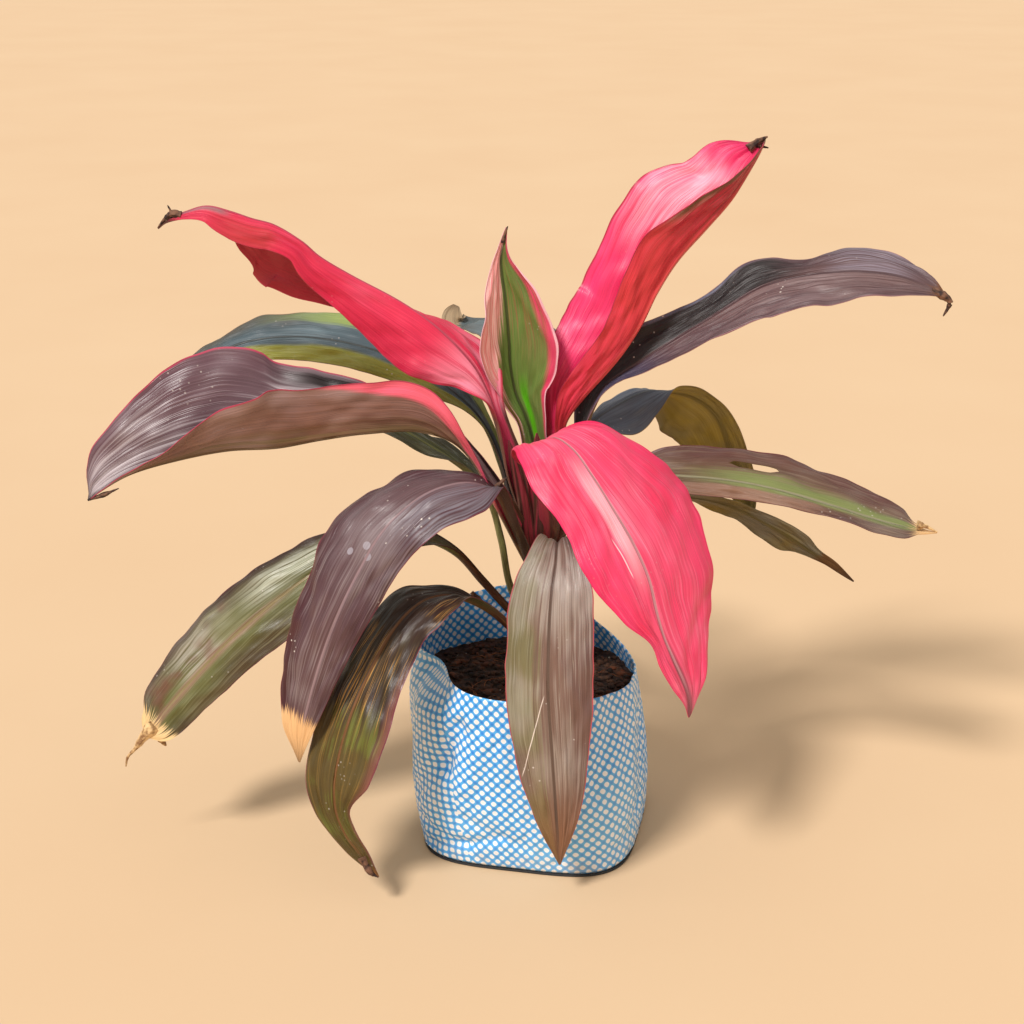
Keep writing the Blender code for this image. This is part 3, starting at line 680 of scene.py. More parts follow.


# The leaves, and first the broad one at the left
# Each is one long blade on a channelled stalk that clasps the cane, and its veins run aslant to the margin.
# This one is folded along its midrib, mauve inside with a partly painted silvery sheen, browner outside and
# edged in red.

# A cross-section of a leaf: its place on the midrib, the width of each half, its roll in degrees about the
# midrib, and the slope in degrees at which each half leaves the midrib and meets the margin. A slope is up
# towards the upper face. Left and right are as seen from above, looking out along the leaf.
Section = namedtuple("Section", "x y z left right roll left_in left_out right_in right_out")
STALK_HALF_WIDTH = 0.0045
STALK_THICKNESS = 0.0030
STALK_CHANNEL = 48
STALK_FLOOR = 15
SHEATH_HALF_WIDTH = 0.0095
SHEATH_FLOOR = 5
SHEATH_CHANNEL = 45
SHEATH_CLEAR = 0.0003
BLADE_THICKNESS = 0.0008
BLADE_EDGE = 0.0004
RIB_HEIGHT = 0.0014
RIB_HALF_WIDTH = 0.0020
TIP_HALF_WIDTH = 0.0006
LEAF_ROWS = 170
LEAF_HALF_COLUMNS = 24
COLUMN_SPREAD = 1.15
VEIN_FAN = 0.30
BLADE_START = 0.12
STALK_END = 0.10
RIPPLE = 0.0016
PLEAT_HEIGHT = 0.00030
COCKLE_HEIGHT = 0.0009

# The leaf's unevenness, largest first: the margin's swings (length, share of the width), the pleats (number
# across, share of the height), the margin's ripples (length, share of the height) and the cockles (length,
# number across).
MARGIN_SWINGS = ((0.055, 0.007), (0.031, 0.005), (0.017, 0.003))
PLEATS = ((2.6, 0.9), (4.3, 0.6), (7.1, 0.45), (11.9, 0.25))
RIPPLES = ((0.071, 0.50), (0.043, 0.30), (0.026, 0.15), (0.015, 0.06))
COCKLES = ((0.062, 1.1), (0.037, 1.9), (0.024, 2.7))


def stalk(x, y, z, half_width=STALK_HALF_WIDTH, roll=0):
    """A cross-section of the channelled stalk."""
    slopes = (STALK_FLOOR, STALK_CHANNEL)
    return Section(x, y, z, half_width, half_width, roll, *slopes, *slopes)


def tip(x, y, z, roll=0):
    """The last cross-section, where the halves meet in a point."""
    return Section(x, y, z, TIP_HALF_WIDTH, TIP_HALF_WIDTH, roll, 0, 0, 0, 0)


def sheath(azimuth, height):
    """Where a stalk clasps the cane, its channelled face towards the bark."""
    angle = math.radians(azimuth)
    out = cane_radius(height) + CANE_RING_RISE + SHEATH_CLEAR
    centre = cane_centre(height) + Vector((math.cos(angle), math.sin(angle), 0)) * out
    slopes = (SHEATH_FLOOR, SHEATH_CHANNEL)
    return Section(*centre, SHEATH_HALF_WIDTH, SHEATH_HALF_WIDTH, 0, *slopes, *slopes)


def column(rows, field):
    """One of the cross-sections' values in every row."""
    return rows[:, Section._fields.index(field)]


def smooth_track(places, values, at):
    """A smooth curve through values at places, read at other places."""
    places, values = np.asarray(places, float), np.asarray(values, float)
    count = len(places)
    before, after = np.maximum(np.arange(count) - 1, 0), np.minimum(np.arange(count) + 1, count - 1)
    slopes = (values[after] - values[before]) / (places[after] - places[before])
    index = np.clip(np.searchsorted(places, at, side="right") - 1, 0, count - 2)
    span = places[index + 1] - places[index]
    t = (at - places[index]) / span
    return (
        values[index] * (2 * t**3 - 3 * t**2 + 1)
        + slopes[index] * span * (t**3 - 2 * t**2 + t)
        + values[index + 1] * (3 * t**2 - 2 * t**3)
        + slopes[index + 1] * span * (t**3 - t**2)
    )


def leaf_spine(sections, azimuth):
    """Even rows along the midrib: distance, share of the blade, place, direction, normal and values."""
    stems = sum(section.left_out == section.right_out == STALK_CHANNEL for section in sections)
    spots = np.array([section[:3] for section in sections])
    knots = np.concatenate([[0.0], np.cumsum(np.linalg.norm(np.diff(spots, axis=0), axis=1))])
    at = np.linspace(0, knots[-1], LEAF_ROWS + 1)
    rows = np.stack([smooth_track(knots, values, at) for values in zip(*sections)], axis=1)
    points = rows[:, :3]
    heads = np.empty_like(points)
    heads[1:-1] = points[2:] - points[:-2]
    heads[0] = points[1] - points[0]
    heads[-1] = points[-1] - points[-2]
    heads /= np.linalg.norm(heads, axis=1, keepdims=True)
    angle = math.radians(azimuth)
    normal = Vector((-math.cos(angle), -math.sin(angle), 0))
    ups = []
    last = None
    for head, roll in zip(heads, column(rows, "roll")):
        along = Vector(head)
        if last:
            normal = last.rotation_difference(along) @ normal
        normal = (normal - along * normal.dot(along)).normalized()
        ups.append(Quaternion(along, math.radians(roll)) @ normal)
        last = along
    along = (at - knots[stems]) / (at[-1] - knots[stems])
    return at, along, points, heads, np.array(ups), rows


def leaf_half(out, up, width, angle_in, angle_out, shares):
    """Offsets from the midrib to each column of one half, and the blade's normals there."""
    steps = np.diff(np.concatenate([[0.0], shares]))
    middles = shares - steps / 2
    angle = np.radians(angle_in[:, None] + (angle_out - angle_in)[:, None] * middles)
    run = np.cumsum(np.cos(angle) * steps, axis=1) * width[:, None]
    lift = np.cumsum(np.sin(angle) * steps, axis=1) * width[:, None]
    here = np.radians(angle_in[:, None] + (angle_out - angle_in)[:, None] * shares)
    offsets = run[..., None] * out[:, None] + lift[..., None] * up[:, None]
    normals = -np.sin(here)[..., None] * out[:, None] + np.cos(here)[..., None] * up[:, None]
    return offsets, normals


def leaf_grid(name, azimuth, height, sections, ripple):
    """The blade's upper surface as a grid of points, with normals and the values that its finish reads."""
    at, along, points, heads, ups, rows = leaf_spine([sheath(azimuth, height), *sections], azimuth)
    draw = random.Random(name)
    blade = np.clip(along / BLADE_START, 0, 1)
    left_width, right_width = column(rows, "left"), column(rows, "right")
    for width in (left_width, right_width):
        for wave, share in MARGIN_SWINGS:
            swing = np.sin(2 * math.pi * at / wave + draw.uniform(0, 2 * math.pi))
            width *= 1 + share * swing * blade
        np.maximum(width, TIP_HALF_WIDTH, out=width)
    rights = np.cross(heads, ups)
    shares = (np.arange(1, LEAF_HALF_COLUMNS + 1) / LEAF_HALF_COLUMNS) ** COLUMN_SPREAD
    left_slopes = column(rows, "left_in"), column(rows, "left_out")
    right_slopes = column(rows, "right_in"), column(rows, "right_out")
    left, left_normals = leaf_half(-rights, ups, left_width, *left_slopes, shares)
    right, right_normals = leaf_half(rights, ups, right_width, *right_slopes, shares)
    grid = points[:, None] + np.concatenate([left[:, ::-1], np.zeros_like(left[:, :1]), right], axis=1)
    normals = np.concatenate([left_normals[:, ::-1], ups[:, None], right_normals], axis=1)
    across = np.concatenate([-shares[::-1], [0.0], shares])
    widths = np.where(across[None] < 0, left_width[:, None], right_width[:, None])
    fan = np.abs(across)[None] - VEIN_FAN * along[:, None] + 3.0 * (across > 0)
    lift = np.zeros_like(fan)
    for pleats, share in PLEATS:
        lift += PLEAT_HEIGHT * share * np.sin(2 * math.pi * pleats * fan + draw.uniform(0, 2 * math.pi))
    sway = np.clip((1 - along) / 0.1, 0, 1)
    for wave, share in RIPPLES:
        for sign in (-1, 1):
            swing = np.sin(2 * math.pi * at / wave + draw.uniform(0, 2 * math.pi)) * sway
            lift += ripple * share * swing[:, None] * np.clip(across * sign, 0, 1)[None] ** 2.0
    for wave, turns in COCKLES:
        phase, drift = draw.uniform(0, 2 * math.pi), draw.uniform(0, 2 * math.pi)
        lengthwise = np.sin(2 * math.pi * at / wave + phase)[:, None]
        cockle = lengthwise * np.sin(2 * math.pi * turns * fan + drift)
        lift += COCKLE_HEIGHT * wave / COCKLES[0][0] * cockle * np.clip(np.abs(across) * 3, 0, 1)[None]
    lift *= blade[:, None] * np.clip(widths / 0.02, 0, 1)
    return grid + normals * lift[..., None], normals, across, along, widths


def leaf_thickness(across, along, widths):
    """Thick and rounded in the stalk, thin in the blade, with a rib under the midrib."""
    reach = np.abs(across)[None] * widths
    blade = BLADE_EDGE + (BLADE_THICKNESS - BLADE_EDGE) * (1 - np.abs(across)[None] ** 2)
    fade = np.clip(1 - along, 0.05, 1)[:, None] ** 0.6
    blade = blade + RIB_HEIGHT * fade * np.exp(-((reach / RIB_HALF_WIDTH) ** 2))
    round_back = np.sqrt(np.clip(1 - np.abs(across)[None] ** 2, 0, 1))
    stem = BLADE_EDGE + (STALK_THICKNESS - BLADE_EDGE) * round_back
    turn = np.clip(along / STALK_END, 0, 1)[:, None]
    turn = turn**2 * (3 - 2 * turn)
    return stem + (blade - stem) * turn


Slit = namedtuple("Slit", "across along half_across half_along")
SLIT_PULL = 1.8
SLIT_OPENING = 0.65
SLIT_CUT = 0.4


def open_slit(grid, normals, across, along, slit):
    """Draws the blade back from a torn slit, so that its edge is an oval."""
    u, v = np.meshgrid(across, along)
    x, y = (u - slit.across) / slit.half_across, (v - slit.along) / slit.half_along
    reach = np.maximum(np.hypot(x, y), 0.05)
    push = np.where(reach < SLIT_PULL, (reach + (1 - reach / SLIT_PULL) * SLIT_OPENING) / reach, 1.0)
    column_at = np.interp(slit.across + x * push * slit.half_across, across, np.arange(len(across)))
    row_at = np.interp(slit.along + y * push * slit.half_along, along, np.arange(len(along)))
    i = np.minimum(row_at.astype(int), len(along) - 2)
    j = np.minimum(column_at.astype(int), len(across) - 2)
    down, over = (row_at - i)[..., None], (column_at - j)[..., None]
    return [
        (field[i, j] * (1 - over) + field[i, j + 1] * over) * (1 - down)
        + (field[i + 1, j] * (1 - over) + field[i + 1, j + 1] * over) * down
        for field in (grid, normals)
    ]


def leaf_skin(name, grid, normals, across, along, widths, material, slot, slit=None):
    """One leaf or sheath, skinned on both faces and round its margin."""
    thick = leaf_thickness(across, along, widths)
    if slit:
        grid, normals = open_slit(grid, normals, across, along, slit)
    lower = grid - normals * thick[..., None]
    row_count, column_count = grid.shape[:2]
    size = row_count * column_count
    faces = []
    edges = {}
    for i in range(row_count - 1):
        for j in range(column_count - 1):
            if slit:
                x = ((across[j] + across[j + 1]) / 2 - slit.across) / slit.half_across
                y = ((along[i] + along[i + 1]) / 2 - slit.along) / slit.half_along
                if math.hypot(x, y) < SLIT_CUT:
                    continue
            a, b = i * column_count + j, i * column_count + j + 1
            c, d = b + column_count, a + column_count
            faces.append((a, b, c, d))
            faces.append((a + size, d + size, c + size, b + size))
            for start, end in ((a, b), (b, c), (c, d), (d, a)):
                if (end, start) in edges:
                    del edges[end, start]
                else:
                    edges[start, end] = True
    faces += [(end, start, start + size, end + size) for start, end in edges]
    used = sorted({corner for face in faces for corner in face})
    place = {corner: number for number, corner in enumerate(used)}
    points = np.concatenate([grid.reshape(-1, 3), lower.reshape(-1, 3)])[used]
    piece = new_piece(name, points, [tuple(place[corner] for corner in face) for face in faces], material)
    fields = {
        "across": np.tile(np.broadcast_to(across[None], grid.shape[:2]).ravel(), 2),
        "along": np.tile(np.broadcast_to(along[:, None], grid.shape[:2]).ravel(), 2),
        "reach": np.tile((across[None] * widths).ravel(), 2),
        "under": np.repeat([0.0, 1.0], size),
    }
    for field, values in fields.items():
        layer = piece.data.attributes.new(field, "FLOAT", "POINT")
        layer.data.foreach_set("value", values[used].astype(np.float32))
    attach(piece, "root")
    return piece


def leaf_piece(name, azimuth, height, sections, material, slot, ripple=RIPPLE, slit=None):
    """One leaf, from where its stalk clasps the cane, through its cross-sections, to its tip."""
    shape = leaf_grid(name, azimuth, height, sections, ripple)
    piece = leaf_skin(name + "_blade", *shape, material, slot, slit)
    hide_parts(name)


# What a leaf's own painting can go by: the share of the half's width from the midrib, signed and plain, the
# share of the blade's length, 1 on the right half, metres from the midrib, streaks in three widths, and
# spots in two sizes. Tones are the colours of a leaf's skin.
Spot = namedtuple("Spot", "across out along side reach band streak fine blotch cloud")
Tones = namedtuple("Tones", "middle flank rib edge under under_rib stem channel tip")
RIB_LINE = 0.0011
UNDER_RIB_LINE = 0.0032
SKIN_RELIEF = 0.00045
STALK_DARK = "#33211A"
STALK_LIGHT = "#8C7440"
DUST = "#CFC4BC"
BURNT = "#4A2F1C"


def leaf_finish(name, tones, pale, pale_share, vein, vein_share, dead=1.1, gloss=0.40, edge_width=0.03,
                speck_share=0.5, depth=0.55, paint=None):
    """A leaf's skin: two faces with slanted veins and streaks, a midrib, a margin line, a stalk and a tip.

    Pale is the colour of the pale patches, partly the leaf's own silvery bloom and partly painted sheen,
    dead the share of the length past which the tip is dry, depth how strongly the streaks and the painted
    shade of the pleats differ, and paint adds what only this leaf has.
    """
    material, shader, place = new_finish(name + "_skin", gloss)
    tones = Tones(*[tone(code) for code in tones])
    fields = ("across", "along", "reach", "under")
    across, along, reach, under_face = [place.stored(field) for field in fields]
    seed = random.Random(name).uniform(0, 50)
    out = abs(across)
    side = across.math("GREATER_THAN", across, 0.0)
    fan = out - along * VEIN_FAN

    def strands(count, length, detail=2.0):
        """Noise drawn out along the veins."""
        return place.place(fan * count, along * length, side * 7 + seed).noise(1.0, detail)

    band = strands(4.5, 1.4)
    streak = strands(24.0, 2.4, 4.0)
    fine = strands(92.0, 5.0, 1.0)
    cloud = place.noise(14.0, 2.0)
    blotch = place.noise(22.0, 3.0)
    spot = Spot(across, out, along, side, reach, band, streak, fine, blotch, cloud)
    threads = abs(strands(15.0, 1.3, 1.0) - 0.5).ease(0.030, 0.004) * blotch.ease(0.35, 0.55)

    upper = (out + (blotch - 0.5) * 1.2).ease(0.15, 0.95).blend(tones.middle, tones.flank)
    under = (blotch.ease(0.3, 0.7) * 0.4).blend(tones.under, tones.middle)
    # Pale patches: partly the leaf's own silvery bloom and partly painted sheen.
    bloom_and_painted_sheen = (streak * 0.30 + cloud * 0.90 + fine * 0.30).ease(0.70, 1.00)
    upper = (bloom_and_painted_sheen * pale_share).blend(upper, tone(pale))
    upper = (threads * vein_share).blend(upper, tone(vein))
    under = (threads * vein_share * 0.5).blend(under, tones.under_rib)
    if paint:
        upper, under = paint(upper, under, spot)
    # The bands and streaks darken and lighten the colour: partly the leaf's own streaking and partly painted
    # shade of its pleats.
    shade = (band - 0.5) * depth * 0.5 + (streak - 0.5) * depth * 0.6 + (fine - 0.5) * 0.5 + 1.0
    upper = shade.dim(upper)
    under = shade.dim(under)
    specks = place.node("ShaderNodeTexVoronoi", {}, {"Vector": place, "Scale": 230.0})
    dust = specks.ease(0.20, 0.10) * place.noise(34.0, 2.0).ease(0.58, 0.66) * speck_share
    upper = dust.blend(upper, tone(DUST))
    rib = abs(reach).ease(RIB_LINE * 1.4, RIB_LINE * 0.5)
    upper = (rib * along.ease(1.0, 0.85)).blend(upper, tones.rib)
    under = (abs(reach).ease(UNDER_RIB_LINE, 0.0010) * 0.8).blend(under, tones.under_rib)
    margin = (out + (fine - 0.5) * 0.03).ease(1.0 - edge_width, 1.0 - edge_width * 0.4)
    upper = margin.blend(upper, tones.edge)
    under = margin.blend(under, tones.edge)
    stem = along.ease(0.04, -0.04)
    grain = place.place(across * 9.0, along * 14.0, seed).noise(1.0, 3.0)
    stalk_skin = (grain.ease(0.40, 0.62) * 0.6).blend(tones.stem, tone(STALK_DARK))
    stalk_skin = (grain.ease(0.42, 0.30) * 0.5).blend(stalk_skin, tone(STALK_LIGHT))
    channel = (out + (grain - 0.5) * 0.3).ease(0.62, 0.74)
    upper = stem.blend(upper, channel.blend(tones.channel, stalk_skin))
    flank = (side * out + (grain - 0.5) * 0.3).ease(0.22, 0.34)
    under = stem.blend(under, flank.blend(stalk_skin, tones.channel))
    colour = under_face.blend(upper, under)
    dry = (along + (streak - 0.5) * 0.10 + (blotch - 0.5) * 0.05).ease(dead - 0.006, dead + 0.012)
    burnt = (along + (streak - 0.5) * 0.10).ease(dead + 0.05, dead + 0.16)
    husk = burnt.blend(tones.tip, tone(BURNT))
    colour = dry.blend(colour, husk)
    roughness = fine * 0.16 + band * 0.14 + dry * 0.35 + (gloss - 0.15)
    relief = streak * 0.6 + fine * 0.6 + threads * 0.3 + rib * -1.0
    feed(shader, Base_Color=colour, Roughness=roughness, Normal=bump(relief, SKIN_RELIEF))
    return material


def scratch(spot, start, end, half_width):
    """A thin mark from one place to another, each given as (along, reach)."""
    slope = (end[1] - start[1]) / (end[0] - start[0])
    line = abs(spot.reach - (spot.along - start[0]) * slope - start[1]).ease(half_width, half_width * 0.4)
    return line * spot.along.between(start[0] - 0.01, start[0] + 0.01, end[0] - 0.01, end[0] + 0.01)


BLADE_LENGTH = 0.28


def blob(spot, along, reach, radius):
    """A round mark at a place on the blade."""
    x = (spot.reach - reach) / radius
    y = (spot.along - along) * (BLADE_LENGTH / radius)
    return (x * x + y * y + (spot.blotch - 0.5) * 2.0).ease(1.1, 0.7)


def broad_paint(upper, under, spot):
    """A pink strip along the near half's outside at the base, a painted silvery sheen down the far half, and
    painted shade in the groove where the far half's edge rolls over.
    """
    near = 1 - spot.side
    keel = near * spot.out.ease(0.30, 0.06) * (spot.blotch + 0.3).ease(0.6, 0.9)
    under = (keel * 0.7).blend(under, tone("#5E4A2A"))
    haze = near * spot.cloud.ease(0.45, 0.62) * spot.along.ease(0.2, 0.4)
    under = (haze * 0.6).blend(under, tone("#A08482"))
    olive = near * spot.out.ease(0.45, 0.12) * spot.streak.ease(0.40, 0.65)
    under = (olive * 0.5).blend(under, tone("#6E6038"))
    strip = (spot.out - spot.along * 1.9 + (spot.fine - 0.5) * 0.10).ease(0.06, 0.16)
    strip = strip * spot.along.ease(0.54, 0.46)
    under = (strip * near).blend(under, tone("#F0647E"))
    # Painted sheen: a silvery highlight down the far half.
    sheen = spot.side * (spot.cloud + (spot.streak - 0.5) * 0.8).ease(0.36, 0.62) * spot.out.ease(0.95, 0.6)
    upper = (sheen * 0.75).blend(upper, tone("#BCB0B4"))
    # Painted shade: near-black in the groove where the far half's edge rolls over.
    painted_groove_shade = spot.side * spot.out.between(0.66, 0.78, 0.88, 0.97) * spot.along.ease(0.62, 0.45)
    upper = painted_groove_shade.blend(upper, tone("#1E1012"))
    return upper, under


leaf_piece(
    "leaf_left_broad", 192, 0.206, [
        stalk(-0.005, -0.012, 0.236, 0.0110, -35),
        stalk(-0.024, -0.027, 0.280, 0.0105, -35),
        Section(-0.050, -0.040, 0.326, 0.013, 0.008, -12, 40, 60, 35, 40),
        Section(-0.079, -0.047, 0.341, 0.034, 0.020, 0, 75, 95, 55, 35),
        Section(-0.118, -0.052, 0.341, 0.041, 0.037, 0, 78, 98, 62, 45),
        Section(-0.150, -0.055, 0.337, 0.042, 0.052, 0, 77, 94, 64, 45),
        Section(-0.180, -0.058, 0.332, 0.050, 0.065, 0, 75, 85, 66, 45),
        Section(-0.215, -0.062, 0.331, 0.038, 0.073, 0, 72, 72, 66, 48),
        Section(-0.252, -0.067, 0.325, 0.020, 0.058, 0, 60, 50, 66, 52),
        Section(-0.282, -0.073, 0.317, 0.009, 0.037, 0, 40, 30, 60, 50),
        Section(-0.303, -0.078, 0.306, 0.003, 0.021, 0, 20, 20, 40, 30),
        tip(-0.311, -0.080, 0.300),
    ],
    leaf_finish(
        "leaf_left_broad",
        Tones(
            middle="#6A5056", flank="#5E3E48", rib="#3A2426", edge="#B43A58", under="#8A6256",
            under_rib="#5A4228", stem="#6A4A34", channel="#E0486E", tip="#3A201C",
        ),
        pale="#9C8C92", pale_share=0.55, vein="#8E787C", vein_share=0.35, dead=0.985, gloss=0.34,
        paint=broad_paint,
    ),
    "leaf_mauve",
)


# The arched leaf at the left front
# It climbs from the cane and hangs over to its dry, cream tip, with its upper face to the front. The blade
# is purple-brown, with silvery patches that are partly painted sheen, a painted blue-grey sheen, a pale
# midrib stripe and a dark maroon far edge.
def arched_paint(upper, under, spot):
    far = spot.side * (spot.out + (spot.streak - 0.5) * 0.25).ease(0.62, 0.85)
    upper = (far * 0.85).blend(upper, tone("#42161F"))
    # Silvery patches: partly the leaf's own bloom and partly painted sheen.
    silver_bloom_and_painted_sheen = (spot.cloud + (spot.streak - 0.5) * 0.6).ease(0.44, 0.66) * spot.along.ease(0.40, 0.62)
    upper = (silver_bloom_and_painted_sheen * 0.45).blend(upper, tone("#A89C9C"))
    # Painted sheen: blue-grey on the near half towards the foot.
    painted_steel_sheen = (1 - spot.side) * spot.along.ease(0.50, 0.30) * spot.streak.ease(0.35, 0.6)
    upper = (painted_steel_sheen * 0.45).blend(upper, tone("#8E8C98"))
    for along, reach in ((0.49, 0.014), (0.46, 0.004), (0.48, -0.001)):
        upper = (blob(spot, along, reach, 0.0024) * 0.6).blend(upper, tone("#ACA6B2"))
    return upper, under


leaf_piece(
    "leaf_left_arched", 233, 0.194, [
        stalk(0.000, -0.020, 0.226, 0.0075, -25),
        stalk(-0.014, -0.032, 0.266, 0.0070, -25),
        Section(-0.027, -0.044, 0.294, 0.012, 0.007, -10, 25, 20, 35, 40),
        Section(-0.047, -0.058, 0.305, 0.033, 0.022, -20, 0, -20, 15, -5),
        Section(-0.074, -0.072, 0.302, 0.033, 0.037, -25, 0, -30, 8, -25),
        Section(-0.096, -0.083, 0.288, 0.030, 0.045, -35, 0, -25, 5, -35),
        Section(-0.107, -0.088, 0.276, 0.028, 0.052, -40, 0, -25, 5, -45),
        Section(-0.116, -0.092, 0.262, 0.026, 0.047, -45, 0, -25, 5, -35),
        Section(-0.134, -0.100, 0.228, 0.023, 0.040, -50, 0, -25, 5, -35),
        Section(-0.149, -0.104, 0.190, 0.018, 0.035, -50, 0, -20, 3, -25),
        Section(-0.161, -0.106, 0.150, 0.012, 0.025, -50, 0, -10, 0, -15),
        Section(-0.165, -0.106, 0.132, 0.008, 0.016, -50, 0, 0, 0, 0),
        tip(-0.168, -0.106, 0.108, -50),
    ],
    leaf_finish(
        "leaf_left_arched",
        Tones(
            middle="#5A3E42", flank="#482A32", rib="#8E7478", edge="#6A1E30", under="#4E3228",
            under_rib="#6A4C34", stem="#4A2C1C", channel="#6E4030", tip="#E4B47E",
        ),
        pale="#96888C", pale_share=0.45, vein="#8A7076", vein_share=0.4, dead=0.885, gloss=0.34,
        speck_share=1.0, paint=arched_paint,
    ),
    "leaf_purple",
)


# The low dark leaf at the left front
# An old leaf that hangs beside the bag, nearly black-brown and glossy. Its veins are tan, and its lower end
# has turned olive.
def dark_paint(upper, under, spot):
    lower = (spot.along + (spot.streak - 0.5) * 0.12).ease(0.50, 0.60)
    upper = (lower * 0.75).blend(upper, tone("#5A4A1E"))
    green = lower * spot.blotch.ease(0.5, 0.62) * spot.streak.ease(0.4, 0.55)
    upper = (green * 0.7).blend(upper, tone("#67702A"))
    blush = (1 - spot.side) * spot.out.ease(0.70, 0.97) * spot.along.ease(0.3, 0.5)
    upper = (blush * 0.6).blend(upper, tone("#8A4A4A"))
    # Painted sheen: a blue-grey patch on the right half.
    painted_steel_sheen = spot.side * spot.streak.ease(0.45, 0.65) * spot.along.between(0.18, 0.30, 0.48, 0.55)
    upper = (painted_steel_sheen * 0.5).blend(upper, tone("#5C6468"))
    return upper, under


leaf_piece(
    "leaf_left_low_dark", 235, 0.148, [
        stalk(-0.008, -0.026, 0.172, 0.0045),
        stalk(-0.029, -0.039, 0.198, 0.0045),
        Section(-0.046, -0.048, 0.211, 0.009, 0.008, -10, 25, 20, 35, 40),
        Section(-0.062, -0.056, 0.218, 0.022, 0.019, -18, 8, -10, 15, -5),
        Section(-0.080, -0.067, 0.217, 0.029, 0.025, -28, 5, -15, 10, -10),
        Section(-0.098, -0.080, 0.203, 0.026, 0.026, -40, 5, -15, 5, -20),
        Section(-0.117, -0.094, 0.172, 0.029, 0.024, -50, 12, -10, 5, -20),
        Section(-0.132, -0.107, 0.138, 0.034, 0.025, -55, 20, 5, 5, -20),
        Section(-0.141, -0.117, 0.101, 0.029, 0.025, -55, 25, 0, 5, -20),
        Section(-0.141, -0.122, 0.078, 0.012, 0.018, -55, 20, -20, 0, -10),
        Section(-0.135, -0.124, 0.060, 0.009, 0.012, -55, 10, -20, 0, -10),
        Section(-0.124, -0.127, 0.044, 0.007, 0.007, -55, 0, 0, 0, 0),
        tip(-0.111, -0.130, 0.027, -55),
    ],
    leaf_finish(
        "leaf_left_low_dark",
        Tones(
            middle="#3A231C", flank="#2C1814", rib="#7A5230", edge="#7A3040", under="#4A4418",
            under_rib="#6A4A20", stem="#5E3214", channel="#6E421C", tip="#8A5A2C",
        ),
        pale="#4C4A28", pale_share=0.5, vein="#D09A50", vein_share=0.9, dead=0.975, gloss=0.32,
        paint=dark_paint,
    ),
    "leaf_purple",
)


# The low green leaf at the left
# A wide old leaf turned to the front, olive with a partly painted silvery sheen. Its far half is dark,
# and its tip is torn and dry.
def green_paint(upper, under, spot):
    # Silvery streaks: partly the leaf's own bloom and partly painted highlight.
    silver_bloom_and_painted_sheen = spot.side * spot.streak.ease(0.30, 0.60) * spot.out.between(0.05, 0.3, 0.5, 0.95)
    silver_bloom_and_painted_sheen = silver_bloom_and_painted_sheen * spot.along.between(0.22, 0.32, 0.48, 0.62)
    upper = (silver_bloom_and_painted_sheen * 0.75).blend(upper, tone("#C6C8B4"))
    # Painted sheen on the lower part of the right half.
    lower_sheen = spot.side * spot.streak.ease(0.40, 0.60) * spot.along.between(0.66, 0.72, 0.78, 0.86)
    upper = (lower_sheen * 0.6).blend(upper, tone("#B4ACA0"))
    rusty = spot.side * spot.blotch.ease(0.50, 0.62) * spot.along.ease(0.5, 0.7)
    upper = (rusty * 0.6).blend(upper, tone("#6E3A30"))
    blush = spot.reach.between(-0.006, 0.0, 0.0, 0.004) * spot.along.ease(0.4, 0.6)
    upper = (blush * 0.6).blend(upper, tone("#A87C70"))
    dark = spot.side * (spot.out + (spot.streak - 0.5) * 0.3).ease(0.72, 0.92)
    upper = (dark * 0.75).blend(upper, tone("#3A2018"))
    return upper, under


leaf_piece(
    "leaf_left_low_green", 192, 0.158, [
        stalk(-0.012, -0.006, 0.180, 0.0048),
        stalk(-0.036, -0.012, 0.211, 0.0048),
        stalk(-0.056, -0.016, 0.236, 0.0050),
        Section(-0.080, -0.020, 0.248, 0.010, 0.010, -20, 20, 10, 20, 10),
        Section(-0.110, -0.021, 0.247, 0.026, 0.022, -35, 10, -10, 15, -10),
        Section(-0.145, -0.023, 0.233, 0.031, 0.026, -45, 5, -20, 18, -30),
        Section(-0.180, -0.030, 0.211, 0.031, 0.033, -48, 0, -20, 15, -35),
        Section(-0.217, -0.036, 0.181, 0.028, 0.037, -48, 5, -20, 12, -30),
        Section(-0.248, -0.041, 0.150, 0.025, 0.034, -48, 10, -40, 8, -25),
        Section(-0.275, -0.045, 0.119, 0.021, 0.028, -48, 5, -40, 5, -20),
        Section(-0.282, -0.047, 0.110, 0.018, 0.017, -48, 0, -20, 5, -15),
        Section(-0.287, -0.048, 0.104, 0.012, 0.011, -48, 0, 0, 0, 0),
        tip(-0.291, -0.049, 0.099, -48),
    ],
    leaf_finish(
        "leaf_left_low_green",
        Tones(
            middle="#5C5C2C", flank="#4A3A22", rib="#8A7A54", edge="#561C2A", under="#6E7232",
            under_rib="#5A5A2A", stem="#5E3214", channel="#6E4A20", tip="#E8C48C",
        ),
        pale="#A09C80", pale_share=0.4, vein="#94906C", vein_share=0.4, dead=0.945, gloss=0.34,
        paint=green_paint,
    ),
    "leaf_olive",
)


